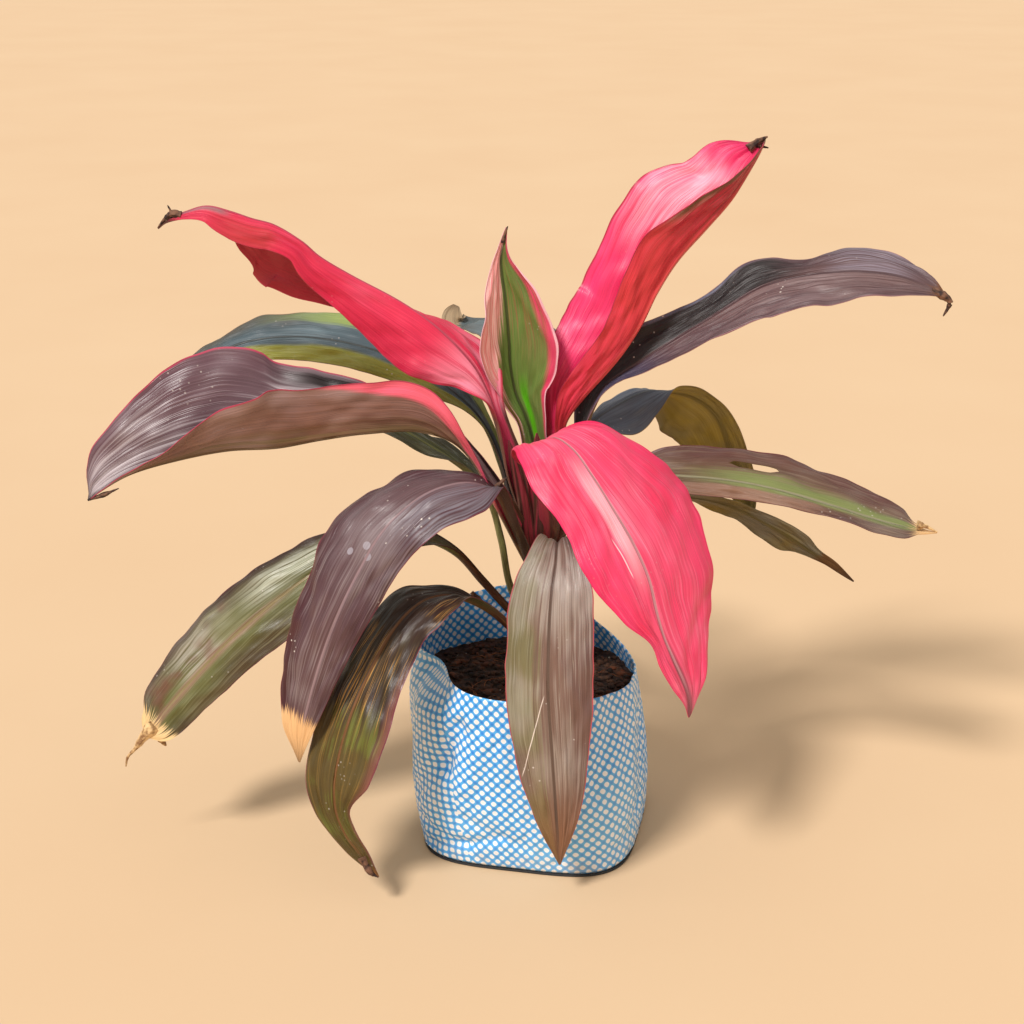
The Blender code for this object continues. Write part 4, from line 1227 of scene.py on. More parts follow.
# The pink leaf at the upper left
# A young leaf held up and bent over along its midrib like a roof, so its halves hang. It is hot pink, with
# darker red streaks, and crimson beneath: partly its own colour, partly painted shade and light shining
# through.
def roof_paint(upper, under, spot):
    pale = spot.along.ease(0.26, 0.08) * (spot.band + spot.fine * 0.4).ease(0.5, 0.8)
    upper = (pale * 0.8).blend(upper, tone("#FF9CB4"))
    stroke = (spot.out * 0.7 + spot.band * 0.8).ease(0.62, 0.90) * spot.along.between(0.20, 0.34, 0.5, 0.66)
    upper = (stroke * 0.85).blend(upper, tone("#C8103C"))
    rust = (spot.out + spot.streak * 0.4).ease(0.35, 0.6) * spot.along.between(0.66, 0.72, 0.78, 0.90)
    upper = (rust * 0.7).blend(upper, tone("#C2383C"))
    # Grey round the midrib at the tip: partly a grey midrib stripe and partly painted sheen.
    grey = spot.along.ease(0.80, 0.84) * spot.out.ease(0.35, 0.15)
    upper = (grey * 0.7).blend(upper, tone("#8C7C80"))
    # Beneath, crimson: partly its own colour, partly painted shade and light shining through the hanging
    # halves.
    return upper, under.mixed(0.55, tone("#AE0C30"))


leaf_piece(
    "leaf_left_upper_pink", 172, 0.236, [
        stalk(-0.001, 0.000, 0.262, 0.0125, -40),
        stalk(-0.012, 0.000, 0.292, 0.0115, -40),
        stalk(-0.027, 0.000, 0.343, 0.0085, -20),
        Section(-0.038, 0.000, 0.369, 0.021, 0.022, 0, -20, -65, 45, 25),
        Section(-0.050, 0.000, 0.386, 0.034, 0.024, 0, -30, -70, 30, 0),
        Section(-0.070, 0.000, 0.406, 0.043, 0.028, 0, -35, -72, 5, -40),
        Section(-0.095, 0.000, 0.424, 0.038, 0.034, 0, -40, -75, -35, -75),
        Section(-0.130, -0.002, 0.444, 0.027, 0.036, 0, -40, -75, -60, -95),
        Section(-0.150, -0.004, 0.457, 0.022, 0.046, 0, -38, -72, -65, -92),
        Section(-0.162, -0.005, 0.468, 0.017, 0.052, 0, -36, -68, -68, -90),
        Section(-0.181, -0.006, 0.480, 0.020, 0.049, 0, -36, -62, -70, -86),
        Section(-0.197, -0.008, 0.485, 0.021, 0.033, 0, -35, -57, -72, -80),
        Section(-0.211, -0.009, 0.490, 0.020, 0.013, 0, -35, -55, -70, -70),
        Section(-0.228, -0.010, 0.494, 0.014, 0.008, 0, -35, -45, -40, -40),
        Section(-0.245, -0.010, 0.489, 0.006, 0.005, 0, -30, -35, -20, -20),
        Section(-0.256, -0.010, 0.484, 0.003, 0.003, 0, -20, -20, -20, -20),
        tip(-0.263, -0.010, 0.478),
    ],
    leaf_finish(
        "leaf_left_upper_pink",
        Tones(
            middle="#DE2A50", flank="#D82048", rib="#B84A60", edge="#C02846", under="#9C0A28",
            under_rib="#C4405A", stem="#6E4238", channel="#C83A5E", tip="#5A3024",
        ),
        pale="#F47A98", pale_share=0.35, vein="#B8143A", vein_share=0.25, dead=0.955, speck_share=0.1,
        depth=0.34, paint=roof_paint,
    ),
    "leaf_pink",
)


# The two green leaves behind, at the left
# Older leaves in the shade of the rest: the upper one banded light green, blue-green and olive, and the
# lower one a dark green sliver on a long, thin, light green stalk.
def banded_paint(upper, under, spot):
    band = (spot.across + (spot.blotch - 0.5) * 0.4).ease(-0.25, -0.45)
    upper = band.blend(upper, tone("#86842E"))
    far = (spot.across + (spot.streak - 0.5) * 0.5).ease(0.45, 0.60)
    upper = (far * spot.along.ease(0.75, 0.5)).blend(upper, tone("#8FA058"))
    return upper, under


leaf_piece(
    "leaf_left_back", 148, 0.216, [
        stalk(-0.009, 0.018, 0.246, 0.0060),
        stalk(-0.022, 0.040, 0.288, 0.0055),
        Section(-0.038, 0.053, 0.318, 0.008, 0.008, -10, 30, 30, 30, 30),
        Section(-0.069, 0.065, 0.344, 0.015, 0.024, -20, 5, -20, 5, -15),
        Section(-0.116, 0.075, 0.366, 0.020, 0.033, -22, 0, -30, 5, -25),
        Section(-0.170, 0.080, 0.376, 0.020, 0.035, -22, 0, -30, 5, -35),
        Section(-0.216, 0.080, 0.373, 0.018, 0.027, -20, 0, -30, 5, -30),
        Section(-0.255, 0.079, 0.357, 0.012, 0.015, -20, 0, -20, 0, -20),
        tip(-0.288, 0.075, 0.334, -20),
    ],
    leaf_finish(
        "leaf_left_back",
        Tones(
            middle="#46565E", flank="#4E4A42", rib="#3A4040", edge="#6A4A3A", under="#5A5E2A",
            under_rib="#6A6A34", stem="#241812", channel="#33221A", tip="#6A4A2A",
        ),
        pale="#7C9098", pale_share=0.5, vein="#586C70", vein_share=0.3, paint=banded_paint,
    ),
    "leaf_green",
)
leaf_piece(
    "leaf_left_back_low", 176, 0.166, [
        stalk(-0.014, 0.006, 0.196, 0.0040),
        stalk(-0.022, 0.016, 0.234, 0.0036),
        stalk(-0.031, 0.028, 0.262, 0.0036),
        Section(-0.048, 0.038, 0.281, 0.008, 0.010, -10, 30, 30, 30, 30),
        Section(-0.076, 0.046, 0.299, 0.014, 0.022, -20, 5, -20, 5, -15),
        Section(-0.108, 0.052, 0.315, 0.014, 0.028, -20, 0, -25, 0, -20),
        Section(-0.145, 0.056, 0.323, 0.012, 0.024, -18, 0, -20, 0, -20),
        Section(-0.180, 0.060, 0.325, 0.008, 0.014, -15, 0, -15, 0, -15),
        tip(-0.212, 0.064, 0.320, -15),
    ],
    leaf_finish(
        "leaf_left_back_low",
        Tones(
            middle="#3A3C1C", flank="#34301A", rib="#5A5A2A", edge="#4A3A1E", under="#5A5A20",
            under_rib="#6A6A30", stem="#9A9A5A", channel="#A8A868", tip="#6A4A2A",
        ),
        pale="#5A6034", pale_share=0.4, vein="#5A5A34", vein_share=0.3,
    ),
    "leaf_green",
)


# The leaf behind the centre
# A blue-grey leaf that leans away to the back, with a tan, curled tip.
leaf_piece(
    "leaf_back", 100, 0.240, [
        stalk(0.011, 0.028, 0.278),
        stalk(0.014, 0.052, 0.310),
        Section(0.014, 0.076, 0.336, 0.012, 0.012, 0, 20, 10, 20, 10),
        Section(0.008, 0.100, 0.358, 0.026, 0.026, 0, 5, -15, 5, -15),
        Section(-0.008, 0.126, 0.372, 0.030, 0.030, 0, 0, -20, 0, -20),
        Section(-0.030, 0.152, 0.374, 0.025, 0.025, 0, 0, -20, 0, -20),
        Section(-0.050, 0.172, 0.363, 0.016, 0.014, -10, 5, 15, 0, -5),
        Section(-0.060, 0.177, 0.3615, 0.0115, 0.0115, -45, 0, 10, 0, 10),
        Section(-0.0625, 0.179, 0.366, 0.0105, 0.0100, -75, 0, 15, 0, 15),
        Section(-0.0615, 0.180, 0.372, 0.0085, 0.0080, -85, 0, 15, 0, 15),
        Section(-0.0600, 0.180, 0.3775, 0.0030, 0.0030, -85, 0, 0, 0, 0),
    ],
    leaf_finish(
        "leaf_back",
        Tones(
            middle="#59666A", flank="#545A5C", rib="#48504E", edge="#6A5A4A", under="#4E542E",
            under_rib="#5E6234", stem="#4A3020", channel="#5A3A2A", tip="#B09A7C",
        ),
        pale="#7C8A90", pale_share=0.5, vein="#6C7A80", vein_share=0.3, dead=0.9,
    ),
    "leaf_green",
)


# The young centre leaf
# The newest leaf, still upright and half rolled at its foot. Its centre is green, its margins are pink and
# then white, and its outside is bronze.
def spear_paint(upper, under, spot):
    left = 1 - spot.side
    rosy = (spot.out * 1.1 + spot.along * 0.9 + (spot.streak - 0.5) * 0.5).ease(0.70, 0.95)
    upper = (left * rosy).blend(upper, tone("#F08A8C"))
    chalk = left * rosy * (spot.streak + spot.fine * 0.3).ease(0.55, 0.80)
    upper = (chalk * 0.85).blend(upper, tone("#FFDAD6"))
    curl = left * spot.out.ease(0.60, 0.75) * spot.along.ease(0.36, 0.22)
    upper = curl.blend(upper, tone("#6E5426"))
    right_rose = (spot.out + (spot.streak - 0.5) * 0.2 + spot.along * 0.25).ease(0.80, 0.96)
    upper = (spot.side * right_rose).blend(upper, tone("#D84468"))
    lime = spot.side * spot.out.between(0.10, 0.18, 0.30, 0.42) * spot.along.ease(0.38, 0.20)
    upper = lime.blend(upper, tone("#58B414"))
    brown = spot.side * spot.streak.ease(0.45, 0.65) * spot.along.ease(0.35, 0.6)
    upper = (brown * 0.7).blend(upper, tone("#8A5A3A"))
    return upper, under


leaf_piece(
    "leaf_spear", 95, 0.262, [
        stalk(0.006, 0.012, 0.286, 0.0120),
        stalk(0.003, 0.014, 0.308, 0.0110),
        Section(-0.003, 0.016, 0.330, 0.010, 0.017, 0, 25, 45, 25, 40),
        Section(-0.011, 0.018, 0.349, 0.017, 0.028, 0, 28, 62, 22, 42),
        Section(-0.015, 0.018, 0.370, 0.028, 0.038, 0, 27, 65, 20, 42),
        Section(-0.016, 0.018, 0.389, 0.031, 0.039, 0, 25, 60, 20, 42),
        Section(-0.019, 0.018, 0.423, 0.023, 0.027, 0, 30, 60, 20, 45),
        Section(-0.022, 0.018, 0.446, 0.009, 0.011, 0, 30, 40, 20, 30),
        Section(-0.021, 0.018, 0.458, 0.004, 0.004, 0, 30, 30, 20, 20),
        tip(-0.018, 0.018, 0.473),
    ],
    leaf_finish(
        "leaf_spear",
        Tones(
            middle="#5E7A34", flank="#6A7A3E", rib="#3F4A22", edge="#F0B8C4", under="#6A4A28",
            under_rib="#7A5A34", stem="#5A2A24", channel="#7A2A34", tip="#8A3A3A",
        ),
        pale="#8E9A60", pale_share=0.5, vein="#7E8A50", vein_share=0.4, edge_width=0.07, speck_share=1.0,
        paint=spear_paint,
    ),
    "leaf_green",
    ripple=0.0008,
)


# The pink leaf at the upper right
# The tallest leaf, V-folded, with its bright inner face to the left. The near half's outside is coral red,
# and the margin near the tip is dry and ragged.
def tall_paint(upper, under, spot):
    far = 1 - spot.side
    # Painted sheen: a pale pink gleam on the far half towards the tip.
    gleam = far * (spot.band + spot.fine * 0.3).ease(0.5, 0.8) * spot.along.between(0.52, 0.66, 0.82, 0.92)
    upper = (gleam * 0.7).blend(upper, tone("#FFB0C4"))
    stroke = far * spot.streak.ease(0.5, 0.66) * spot.along.between(0.40, 0.52, 0.62, 0.74)
    upper = (stroke * 0.8).blend(upper, tone("#D20A4C"))
    under = (spot.along.ease(0.50, 0.85) * spot.streak.ease(0.35, 0.6) * 0.8).blend(under, tone("#8A3A2E"))
    # Painted shade: deep red on the inner face near the foot, down inside the fold.
    upper = (spot.along.ease(0.25, 0.05) * 0.6).blend(upper, tone("#B81034"))
    scorch = spot.side * spot.out.ease(0.72, 0.9) * spot.along.ease(0.62, 0.72)
    upper = scorch.blend(upper, tone("#6A4030"))
    under = scorch.blend(under, tone("#7A5038"))
    return upper, under


leaf_piece(
    "leaf_right_upper_pink", 22, 0.240, [
        stalk(0.020, 0.008, 0.276, 0.0110),
        stalk(0.021, 0.011, 0.306, 0.0095),
        Section(0.025, 0.012, 0.328, 0.018, 0.013, 0, 50, 50, 60, 70),
        Section(0.036, 0.012, 0.345, 0.038, 0.020, 0, 65, 55, 80, 95),
        Section(0.063, 0.014, 0.376, 0.052, 0.025, 0, 60, 45, 82, 100),
        Section(0.080, 0.018, 0.401, 0.053, 0.028, 0, 59, 46, 82, 100),
        Section(0.091, 0.020, 0.424, 0.053, 0.031, 0, 58, 48, 82, 102),
        Section(0.106, 0.023, 0.448, 0.057, 0.035, 0, 57, 50, 80, 98),
        Section(0.127, 0.026, 0.472, 0.059, 0.028, 0, 55, 50, 78, 80),
        Section(0.145, 0.031, 0.492, 0.044, 0.020, 0, 52, 50, 70, 70),
        Section(0.159, 0.040, 0.513, 0.035, 0.011, 0, 50, 50, 50, 50),
        Section(0.166, 0.047, 0.524, 0.016, 0.006, 0, 50, 50, 40, 40),
        tip(0.169, 0.050, 0.532),
    ],
    leaf_finish(
        "leaf_right_upper_pink",
        Tones(
            middle="#E02460", flank="#EC3470", rib="#B01E40", edge="#B42848", under="#D2323E",
            under_rib="#DC5250", stem="#6E262E", channel="#B82844", tip="#6E5A48",
        ),
        pale="#FF98B4", pale_share=0.5, vein="#C41A48", vein_share=0.25, dead=0.972, speck_share=0.1,
        depth=0.34, paint=tall_paint,
    ),
    "leaf_pink",
    ripple=0.0018,
)


# The purple leaf at the right
# A mature leaf that twists as it reaches out: its far half is dark purple deepened to nearly black with
# painted shade, its near half mauve with a partly painted silvery sheen, and its tip is a small dry hook.
def twist_paint(upper, under, spot):
    far = 1 - spot.side
    # Painted shade: the far half's dark purple deepened to nearly black where it stands concave.
    dark = far * (spot.along + (spot.streak - 0.5) * 0.15).ease(0.72, 0.58) * spot.out.ease(0.02, 0.10)
    dark = dark * (spot.out + (spot.streak - 0.5) * 0.1).ease(0.93, 0.84)
    upper = dark.blend(upper, tone("#1C1114"))
    lip = far * spot.out.ease(0.84, 0.93) * spot.along.ease(0.62, 0.50)
    upper = lip.blend(upper, tone("#5A5C70"))
    # Indigo near the foot: partly its own colour and partly painted sheen.
    indigo_and_painted_sheen = spot.side * spot.along.ease(0.36, 0.22)
    upper = (indigo_and_painted_sheen * 0.85).blend(upper, tone("#3A3450"))
    # Silvery patches: partly the leaf's own bloom and partly painted sheen.
    silver_bloom_and_painted_sheen = spot.side * spot.streak.ease(0.35, 0.6) * spot.along.ease(0.40, 0.55)
    upper = (silver_bloom_and_painted_sheen * 0.4).blend(upper, tone("#8C7474"))
    # Painted sheen on the far half near the tip.
    painted_frosty_sheen = far * spot.streak.ease(0.35, 0.6) * spot.along.between(0.70, 0.78, 0.86, 0.96)
    upper = (painted_frosty_sheen * 0.5).blend(upper, tone("#9C94A4"))
    return upper, under


leaf_piece(
    "leaf_right_purple", 2, 0.222, [
        stalk(0.027, 0.004, 0.256, 0.0085),
        stalk(0.035, 0.008, 0.303, 0.0070),
        Section(0.052, 0.020, 0.350, 0.020, 0.010, 10, 40, 50, 10, 0),
        Section(0.083, 0.027, 0.372, 0.026, 0.013, 20, 40, 60, -10, -15),
        Section(0.111, 0.030, 0.390, 0.021, 0.019, 20, 35, 55, -10, -20),
        Section(0.136, 0.030, 0.406, 0.019, 0.024, 20, 35, 30, -10, -15),
        Section(0.164, 0.030, 0.424, 0.026, 0.031, 20, 35, 20, -10, -20),
        Section(0.180, 0.028, 0.431, 0.026, 0.033, 20, 25, 10, -8, -25),
        Section(0.200, 0.026, 0.436, 0.022, 0.033, 20, 15, 0, -5, -25),
        Section(0.216, 0.023, 0.439, 0.028, 0.032, 22, 10, -5, -5, -25),
        Section(0.238, 0.019, 0.441, 0.035, 0.026, 24, 5, -10, -5, -25),
        Section(0.267, 0.015, 0.438, 0.025, 0.020, 28, 5, -5, 0, -20),
        Section(0.286, 0.012, 0.432, 0.015, 0.011, 28, 0, 0, 0, -10),
        Section(0.296, 0.010, 0.427, 0.005, 0.005, 28, 0, 0, 0, 0),
        tip(0.299, 0.009, 0.423, 25),
    ],
    leaf_finish(
        "leaf_right_purple",
        Tones(
            middle="#5A3C3C", flank="#4C3036", rib="#4A3034", edge="#8A5C64", under="#7A5A34",
            under_rib="#7A5A34", stem="#5A3424", channel="#6A3A30", tip="#7A4A20",
        ),
        pale="#8C787C", pale_share=0.5, vein="#8A747A", vein_share=0.35, dead=0.97, speck_share=0.9,
        paint=twist_paint,
    ),
    "leaf_purple",
)


# The leaf at the right back
# It arches over and away: blue-grey above near the cane, and thin olive beneath, where light comes through.
leaf_piece(
    "leaf_right_back", 68, 0.222, [
        stalk(0.021, 0.025, 0.254, 0.0050),
        stalk(0.034, 0.040, 0.294, 0.0050),
        Section(0.047, 0.056, 0.314, 0.012, 0.020, 10, -20, -60, 20, 10),
        Section(0.068, 0.070, 0.325, 0.020, 0.028, 15, -30, -80, 5, -15),
        Section(0.090, 0.082, 0.332, 0.022, 0.022, 0, -20, -60, 0, -20),
        Section(0.108, 0.091, 0.330, 0.034, 0.013, -50, 0, 0, 0, 0),
        Section(0.130, 0.101, 0.322, 0.041, 0.012, -82, 0, -10, 0, -10),
        Section(0.150, 0.112, 0.303, 0.040, 0.012, -82, 0, -10, 0, -15),
        Section(0.164, 0.124, 0.270, 0.032, 0.014, -75, 0, -10, 0, -10),
        Section(0.177, 0.134, 0.235, 0.016, 0.012, -70, 0, 0, 0, 0),
        tip(0.188, 0.140, 0.204, -70),
    ],
    leaf_finish(
        "leaf_right_back",
        Tones(
            middle="#525A6A", flank="#5A6070", rib="#464A50", edge="#8A6A44", under="#9C8420",
            under_rib="#6A5A18", stem="#3E221A", channel="#4E2A22", tip="#8A6A3A",
        ),
        pale="#76808C", pale_share=0.5, vein="#66707C", vein_share=0.3,
    ),
    "leaf_olive",
)


# The slim leaf at the right
# Folded along its length, brown and olive above with a maroon edge, a slit torn through it and a cream tip.
def slim_paint(upper, under, spot):
    green = (spot.out + (spot.streak - 0.5) * 0.4).ease(0.45, 0.15) * spot.along.ease(0.25, 0.5)
    upper = (green * 0.8).blend(upper, tone("#7C8A4C"))
    lower = spot.side * spot.out.ease(0.25, 0.4) * spot.along.ease(0.75, 0.6)
    upper = (lower * 0.8).blend(upper, tone("#94705C"))
    return upper, under


leaf_piece(
    "leaf_right_slim", 346, 0.200, [
        stalk(0.028, -0.007, 0.228, 0.0050),
        stalk(0.040, -0.006, 0.260, 0.0050),
        Section(0.059, -0.003, 0.280, 0.010, 0.009, 5, 20, 20, 0, -20),
        Section(0.089, 0.000, 0.290, 0.026, 0.013, 12, 30, 20, -20, -60),
        Section(0.119, 0.000, 0.290, 0.031, 0.015, 15, 35, 25, -25, -65),
        Section(0.156, 0.000, 0.286, 0.034, 0.015, 15, 35, 25, -25, -60),
        Section(0.193, -0.005, 0.279, 0.036, 0.014, 15, 32, 20, -20, -50),
        Section(0.230, -0.010, 0.269, 0.033, 0.013, 15, 28, 20, -15, -35),
        Section(0.259, -0.015, 0.261, 0.028, 0.016, 15, 25, 15, -10, -30),
        Section(0.277, -0.018, 0.257, 0.023, 0.015, 15, 20, 10, -10, -25),
        Section(0.286, -0.019, 0.255, 0.014, 0.009, 15, 5, 0, 0, -10),
        Section(0.293, -0.020, 0.254, 0.004, 0.005, 15, 0, 0, 0, 0),
        tip(0.301, -0.020, 0.2535, 15),
    ],
    leaf_finish(
        "leaf_right_slim",
        Tones(
            middle="#664A38", flank="#5A3430", rib="#8A8468", edge="#5E1C28", under="#6E6034",
            under_rib="#5E5228", stem="#4A2814", channel="#5E341C", tip="#EAC08A",
        ),
        pale="#A09482", pale_share=0.5, vein="#8A7860", vein_share=0.45, dead=0.935, paint=slim_paint,
    ),
    "leaf_olive",
    slit=Slit(-0.50, 0.49, 0.11, 0.075),
)


# The low leaf at the right back
# A narrow old leaf that droops behind the slim one: blue-grey above, olive beneath, brown at its tip.
leaf_piece(
    "leaf_right_low_back", 28, 0.186, [
        stalk(0.032, 0.016, 0.216),
        stalk(0.050, 0.034, 0.242),
        Section(0.080, 0.055, 0.253, 0.014, 0.014, 0, 20, 10, 20, 10),
        Section(0.120, 0.080, 0.247, 0.013, 0.012, -15, 10, 0, 10, -20),
        Section(0.162, 0.100, 0.231, 0.017, 0.009, -25, 10, 0, 10, 0),
        Section(0.202, 0.113, 0.207, 0.019, 0.011, -32, 5, 0, 5, 0),
        Section(0.222, 0.117, 0.193, 0.018, 0.012, -34, 5, 0, 5, 0),
        Section(0.235, 0.119, 0.183, 0.010, 0.007, -35, 10, 20, 5, 0),
        Section(0.254, 0.120, 0.170, 0.005, 0.005, -35, 10, 30, 0, 0),
        tip(0.271, 0.120, 0.157, -35),
    ],
    leaf_finish(
        "leaf_right_low_back",
        Tones(
            middle="#7A8290", flank="#6E7684", rib="#5A5E62", edge="#5A4A2A", under="#766214",
            under_rib="#5A4E14", stem="#5A3418", channel="#6A3E20", tip="#6E4A22",
        ),
        pale="#90969C", pale_share=0.5, vein="#868C92", vein_share=0.3, dead=0.86,
    ),
    "leaf_olive",
)


# The pink leaf at the front
# The showpiece: a broad hot-pink blade that hangs over the bag's right, with a dusky midrib, a painted
# whitish highlight beside it and magenta margins.
def front_paint(upper, under, spot):
    # Painted highlight: a whitish gleam beside the midrib.
    glow = (spot.reach - 0.0055 + (spot.streak - 0.5) * 0.004) / 0.007
    white = (glow * glow).ease(1.0, 0.1) * spot.along.between(0.22, 0.40, 0.5, 0.70)
    upper = (white * 0.65).blend(upper, tone("#FBC4CC"))
    upper = (scratch(spot, (0.50, 0.0138), (0.61, 0.0118), 0.0006) * 0.8).blend(upper, tone("#FFD8DC"))
    rim = (spot.out + (spot.blotch - 0.5) * 0.3).ease(0.70, 1.0)
    upper = (rim * 0.45).blend(upper, tone("#E01858"))
    dusk = abs(spot.reach).ease(0.0040, 0.0010) * spot.along.ease(0.72, 0.88)
    upper = (dusk * 0.8).blend(upper, tone("#7A4048"))
    deep = spot.blotch.ease(0.52, 0.66) * spot.out.ease(0.15, 0.4)
    upper = (deep * 0.45).blend(upper, tone("#E8204E"))
    return upper, under


leaf_piece(
    "leaf_front_pink", 300, 0.234, [
        stalk(0.016, -0.014, 0.262, 0.0100),
        stalk(0.010, -0.019, 0.298, 0.0090),
        Section(0.006, -0.028, 0.321, 0.020, 0.022, 0, 20, 10, 20, 10),
        Section(0.016, -0.043, 0.334, 0.038, 0.036, 0, 12, -10, 10, -15),
        Section(0.029, -0.058, 0.330, 0.052, 0.043, 0, 8, -15, 5, -25),
        Section(0.041, -0.072, 0.317, 0.064, 0.044, 0, 5, -18, 2, -25),
        Section(0.055, -0.086, 0.298, 0.082, 0.041, 0, 0, -22, 0, -22),
        Section(0.070, -0.098, 0.275, 0.080, 0.045, 0, 0, -22, 0, -20),
        Section(0.081, -0.108, 0.252, 0.072, 0.041, 0, 0, -22, 0, -18),
        Section(0.087, -0.116, 0.229, 0.063, 0.027, 0, 0, -20, 0, -18),
        Section(0.092, -0.121, 0.213, 0.056, 0.013, 0, 0, -20, 0, -10),
        Section(0.098, -0.125, 0.200, 0.046, 0.013, 0, 0, -20, 0, -10),
        Section(0.107, -0.129, 0.180, 0.024, 0.010, 0, 0, -15, 0, -10),
        Section(0.110, -0.131, 0.168, 0.009, 0.005, 0, 0, -10, 0, -10),
        tip(0.110, -0.132, 0.157),
    ],
    leaf_finish(
        "leaf_front_pink",
        Tones(
            middle="#EE446C", flank="#EA3866", rib="#C08088", edge="#E01C5A", under="#C0304A",
            under_rib="#D06070", stem="#6A2E2C", channel="#9A3440", tip="#C02A44",
        ),
        pale="#FF9EB6", pale_share=0.45, vein="#F88CA8", vein_share=0.25, speck_share=0.15, depth=0.28,
        paint=front_paint,
    ),
    "leaf_pink",
    ripple=0.0012,
)


# The silvery leaf at the front
# It hangs straight down in front of the bag, pleated along its veins, mauve and olive with a partly painted
# silvery sheen, a red margin, an orange-brown tip and a long white scratch.
def silvery_paint(upper, under, spot):
    olive = (spot.across + (spot.streak - 0.5) * 0.8).ease(0.1, 0.4) * spot.blotch.ease(0.3, 0.6)
    upper = (olive * 0.65).blend(upper, tone("#75754A"))
    ember = spot.along.ease(0.72, 0.98)
    upper = (ember * 0.7).blend(upper, tone("#8A5832"))
    # Silvery patches: partly the leaf's own bloom and partly painted sheen.
    silver_bloom_and_painted_sheen = (spot.cloud + (spot.streak - 0.5) * 0.6).ease(0.42, 0.62) * spot.along.ease(0.72, 0.55)
    upper = (silver_bloom_and_painted_sheen * 0.30).blend(upper, tone("#BEB6AE"))
    upper = (scratch(spot, (0.56, 0.0035), (0.76, 0.0232), 0.0005) * 0.8).blend(upper, tone("#F2E2DA"))
    return upper, under


leaf_piece(
    "leaf_front_silvery", 279, 0.200, [
        stalk(0.018, -0.022, 0.224, 0.0060),
        Section(0.018, -0.036, 0.246, 0.008, 0.008, 0, 35, 40, 35, 40),
        Section(0.019, -0.050, 0.257, 0.014, 0.014, 0, 35, 15, 40, 20),
        Section(0.018, -0.062, 0.257, 0.018, 0.018, 0, 22, 0, 25, 0),
        Section(0.017, -0.075, 0.251, 0.023, 0.023, 0, 12, -10, 12, -10),
        Section(0.014, -0.090, 0.234, 0.030, 0.030, 0, 5, -15, 5, -15),
        Section(0.012, -0.102, 0.200, 0.032, 0.032, 0, 5, -18, 3, -18),
        Section(0.012, -0.111, 0.160, 0.032, 0.032, 0, 3, -18, 3, -15),
        Section(0.015, -0.116, 0.115, 0.026, 0.028, 0, 3, -15, 3, -15),
        Section(0.018, -0.118, 0.071, 0.017, 0.018, 0, 0, -10, 0, -10),
        tip(0.021, -0.118, 0.030),
    ],
    leaf_finish(
        "leaf_front_silvery",
        Tones(
            middle="#75594E", flank="#6C4E48", rib="#5E4A40", edge="#B04850", under="#6A5040",
            under_rib="#7A6048", stem="#4A2E22", channel="#5E4034", tip="#A05A28",
        ),
        pale="#B4AAA0", pale_share=0.45, vein="#B6AA9E", vein_share=0.4, edge_width=0.035, depth=0.70,
        speck_share=0.9, paint=silvery_paint,
    ),
    "leaf_mauve",
    ripple=0.0010,
)


# The sheaths at the crown
# The broad feet of the younger stalks wrap one inside another and hide the cane. They are dark red-brown,
# striped crimson along their length.
WRAP_FLOOR = 15
WRAP_CURL = 75
WRAP_CURL_ABOVE = 65


def wrapped(x, y, z, half_width, curl=WRAP_CURL):
    """A cross-section of a sheath, with its margins curled round the one inside it."""
    slopes = (WRAP_FLOOR, curl)
    return Section(x, y, z, half_width, half_width, 0, *slopes, *slopes)


def sheath_finish():
    material, shader, place = new_finish("sheath_skin", 0.42)
    across = place.stored("across")
    along = place.stored("along")
    stripe = place.place(across * 5.0, along * 0.9).noise(1.0, 2.0)
    fine = place.place(across * 26.0, along * 3.0).noise(1.0, 2.0)
    colour = stripe.ease(0.44, 0.58).blend(tone("#3C1A18"), tone("#8A2436"))
    colour = (fine.ease(0.45, 0.65) * 0.5).blend(colour, tone("#5E3E2A"))
    colour = abs(across).ease(0.80, 1.0).blend(colour, tone("#A83046"))
    feed(shader, Base_Color=colour, Normal=bump(fine, 0.0004))
    return material


def make_sheaths():
    skin = sheath_finish()
    for name, azimuth, height, sections in (
        ("crown_sheath_left", 240, 0.208, [
            wrapped(-0.003, -0.013, 0.236, 0.0115),
            wrapped(-0.007, -0.014, 0.272, 0.0110),
            wrapped(-0.012, -0.012, 0.300, 0.0080, WRAP_CURL_ABOVE),
            tip(-0.016, -0.010, 0.322),
        ]),
        ("crown_sheath_front", 285, 0.214, [
            wrapped(0.008, -0.014, 0.240, 0.0115),
            wrapped(0.008, -0.013, 0.278, 0.0105),
            wrapped(0.006, -0.010, 0.302, 0.0080, WRAP_CURL_ABOVE),
            tip(0.004, -0.006, 0.326),
        ]),
        ("crown_sheath_right", 330, 0.220, [
            wrapped(0.017, -0.008, 0.246, 0.0095),
            wrapped(0.020, -0.006, 0.284, 0.0085),
            tip(0.024, -0.002, 0.324),
        ]),
    ):
        leaf_skin(name, *leaf_grid(name, azimuth, height, sections, ripple=0.0), skin, "leaf_purple")


make_sheaths()


# The dried tips
# Dead ends of the blades, shrunk and twisted into thin brown hooks and scraps, some still pale as straw.
# Each scrap is a row of places, with its half-width there.
CURL_STEPS = 14
CURL_SIDES = 8
CURL_LEAST = 0.0003


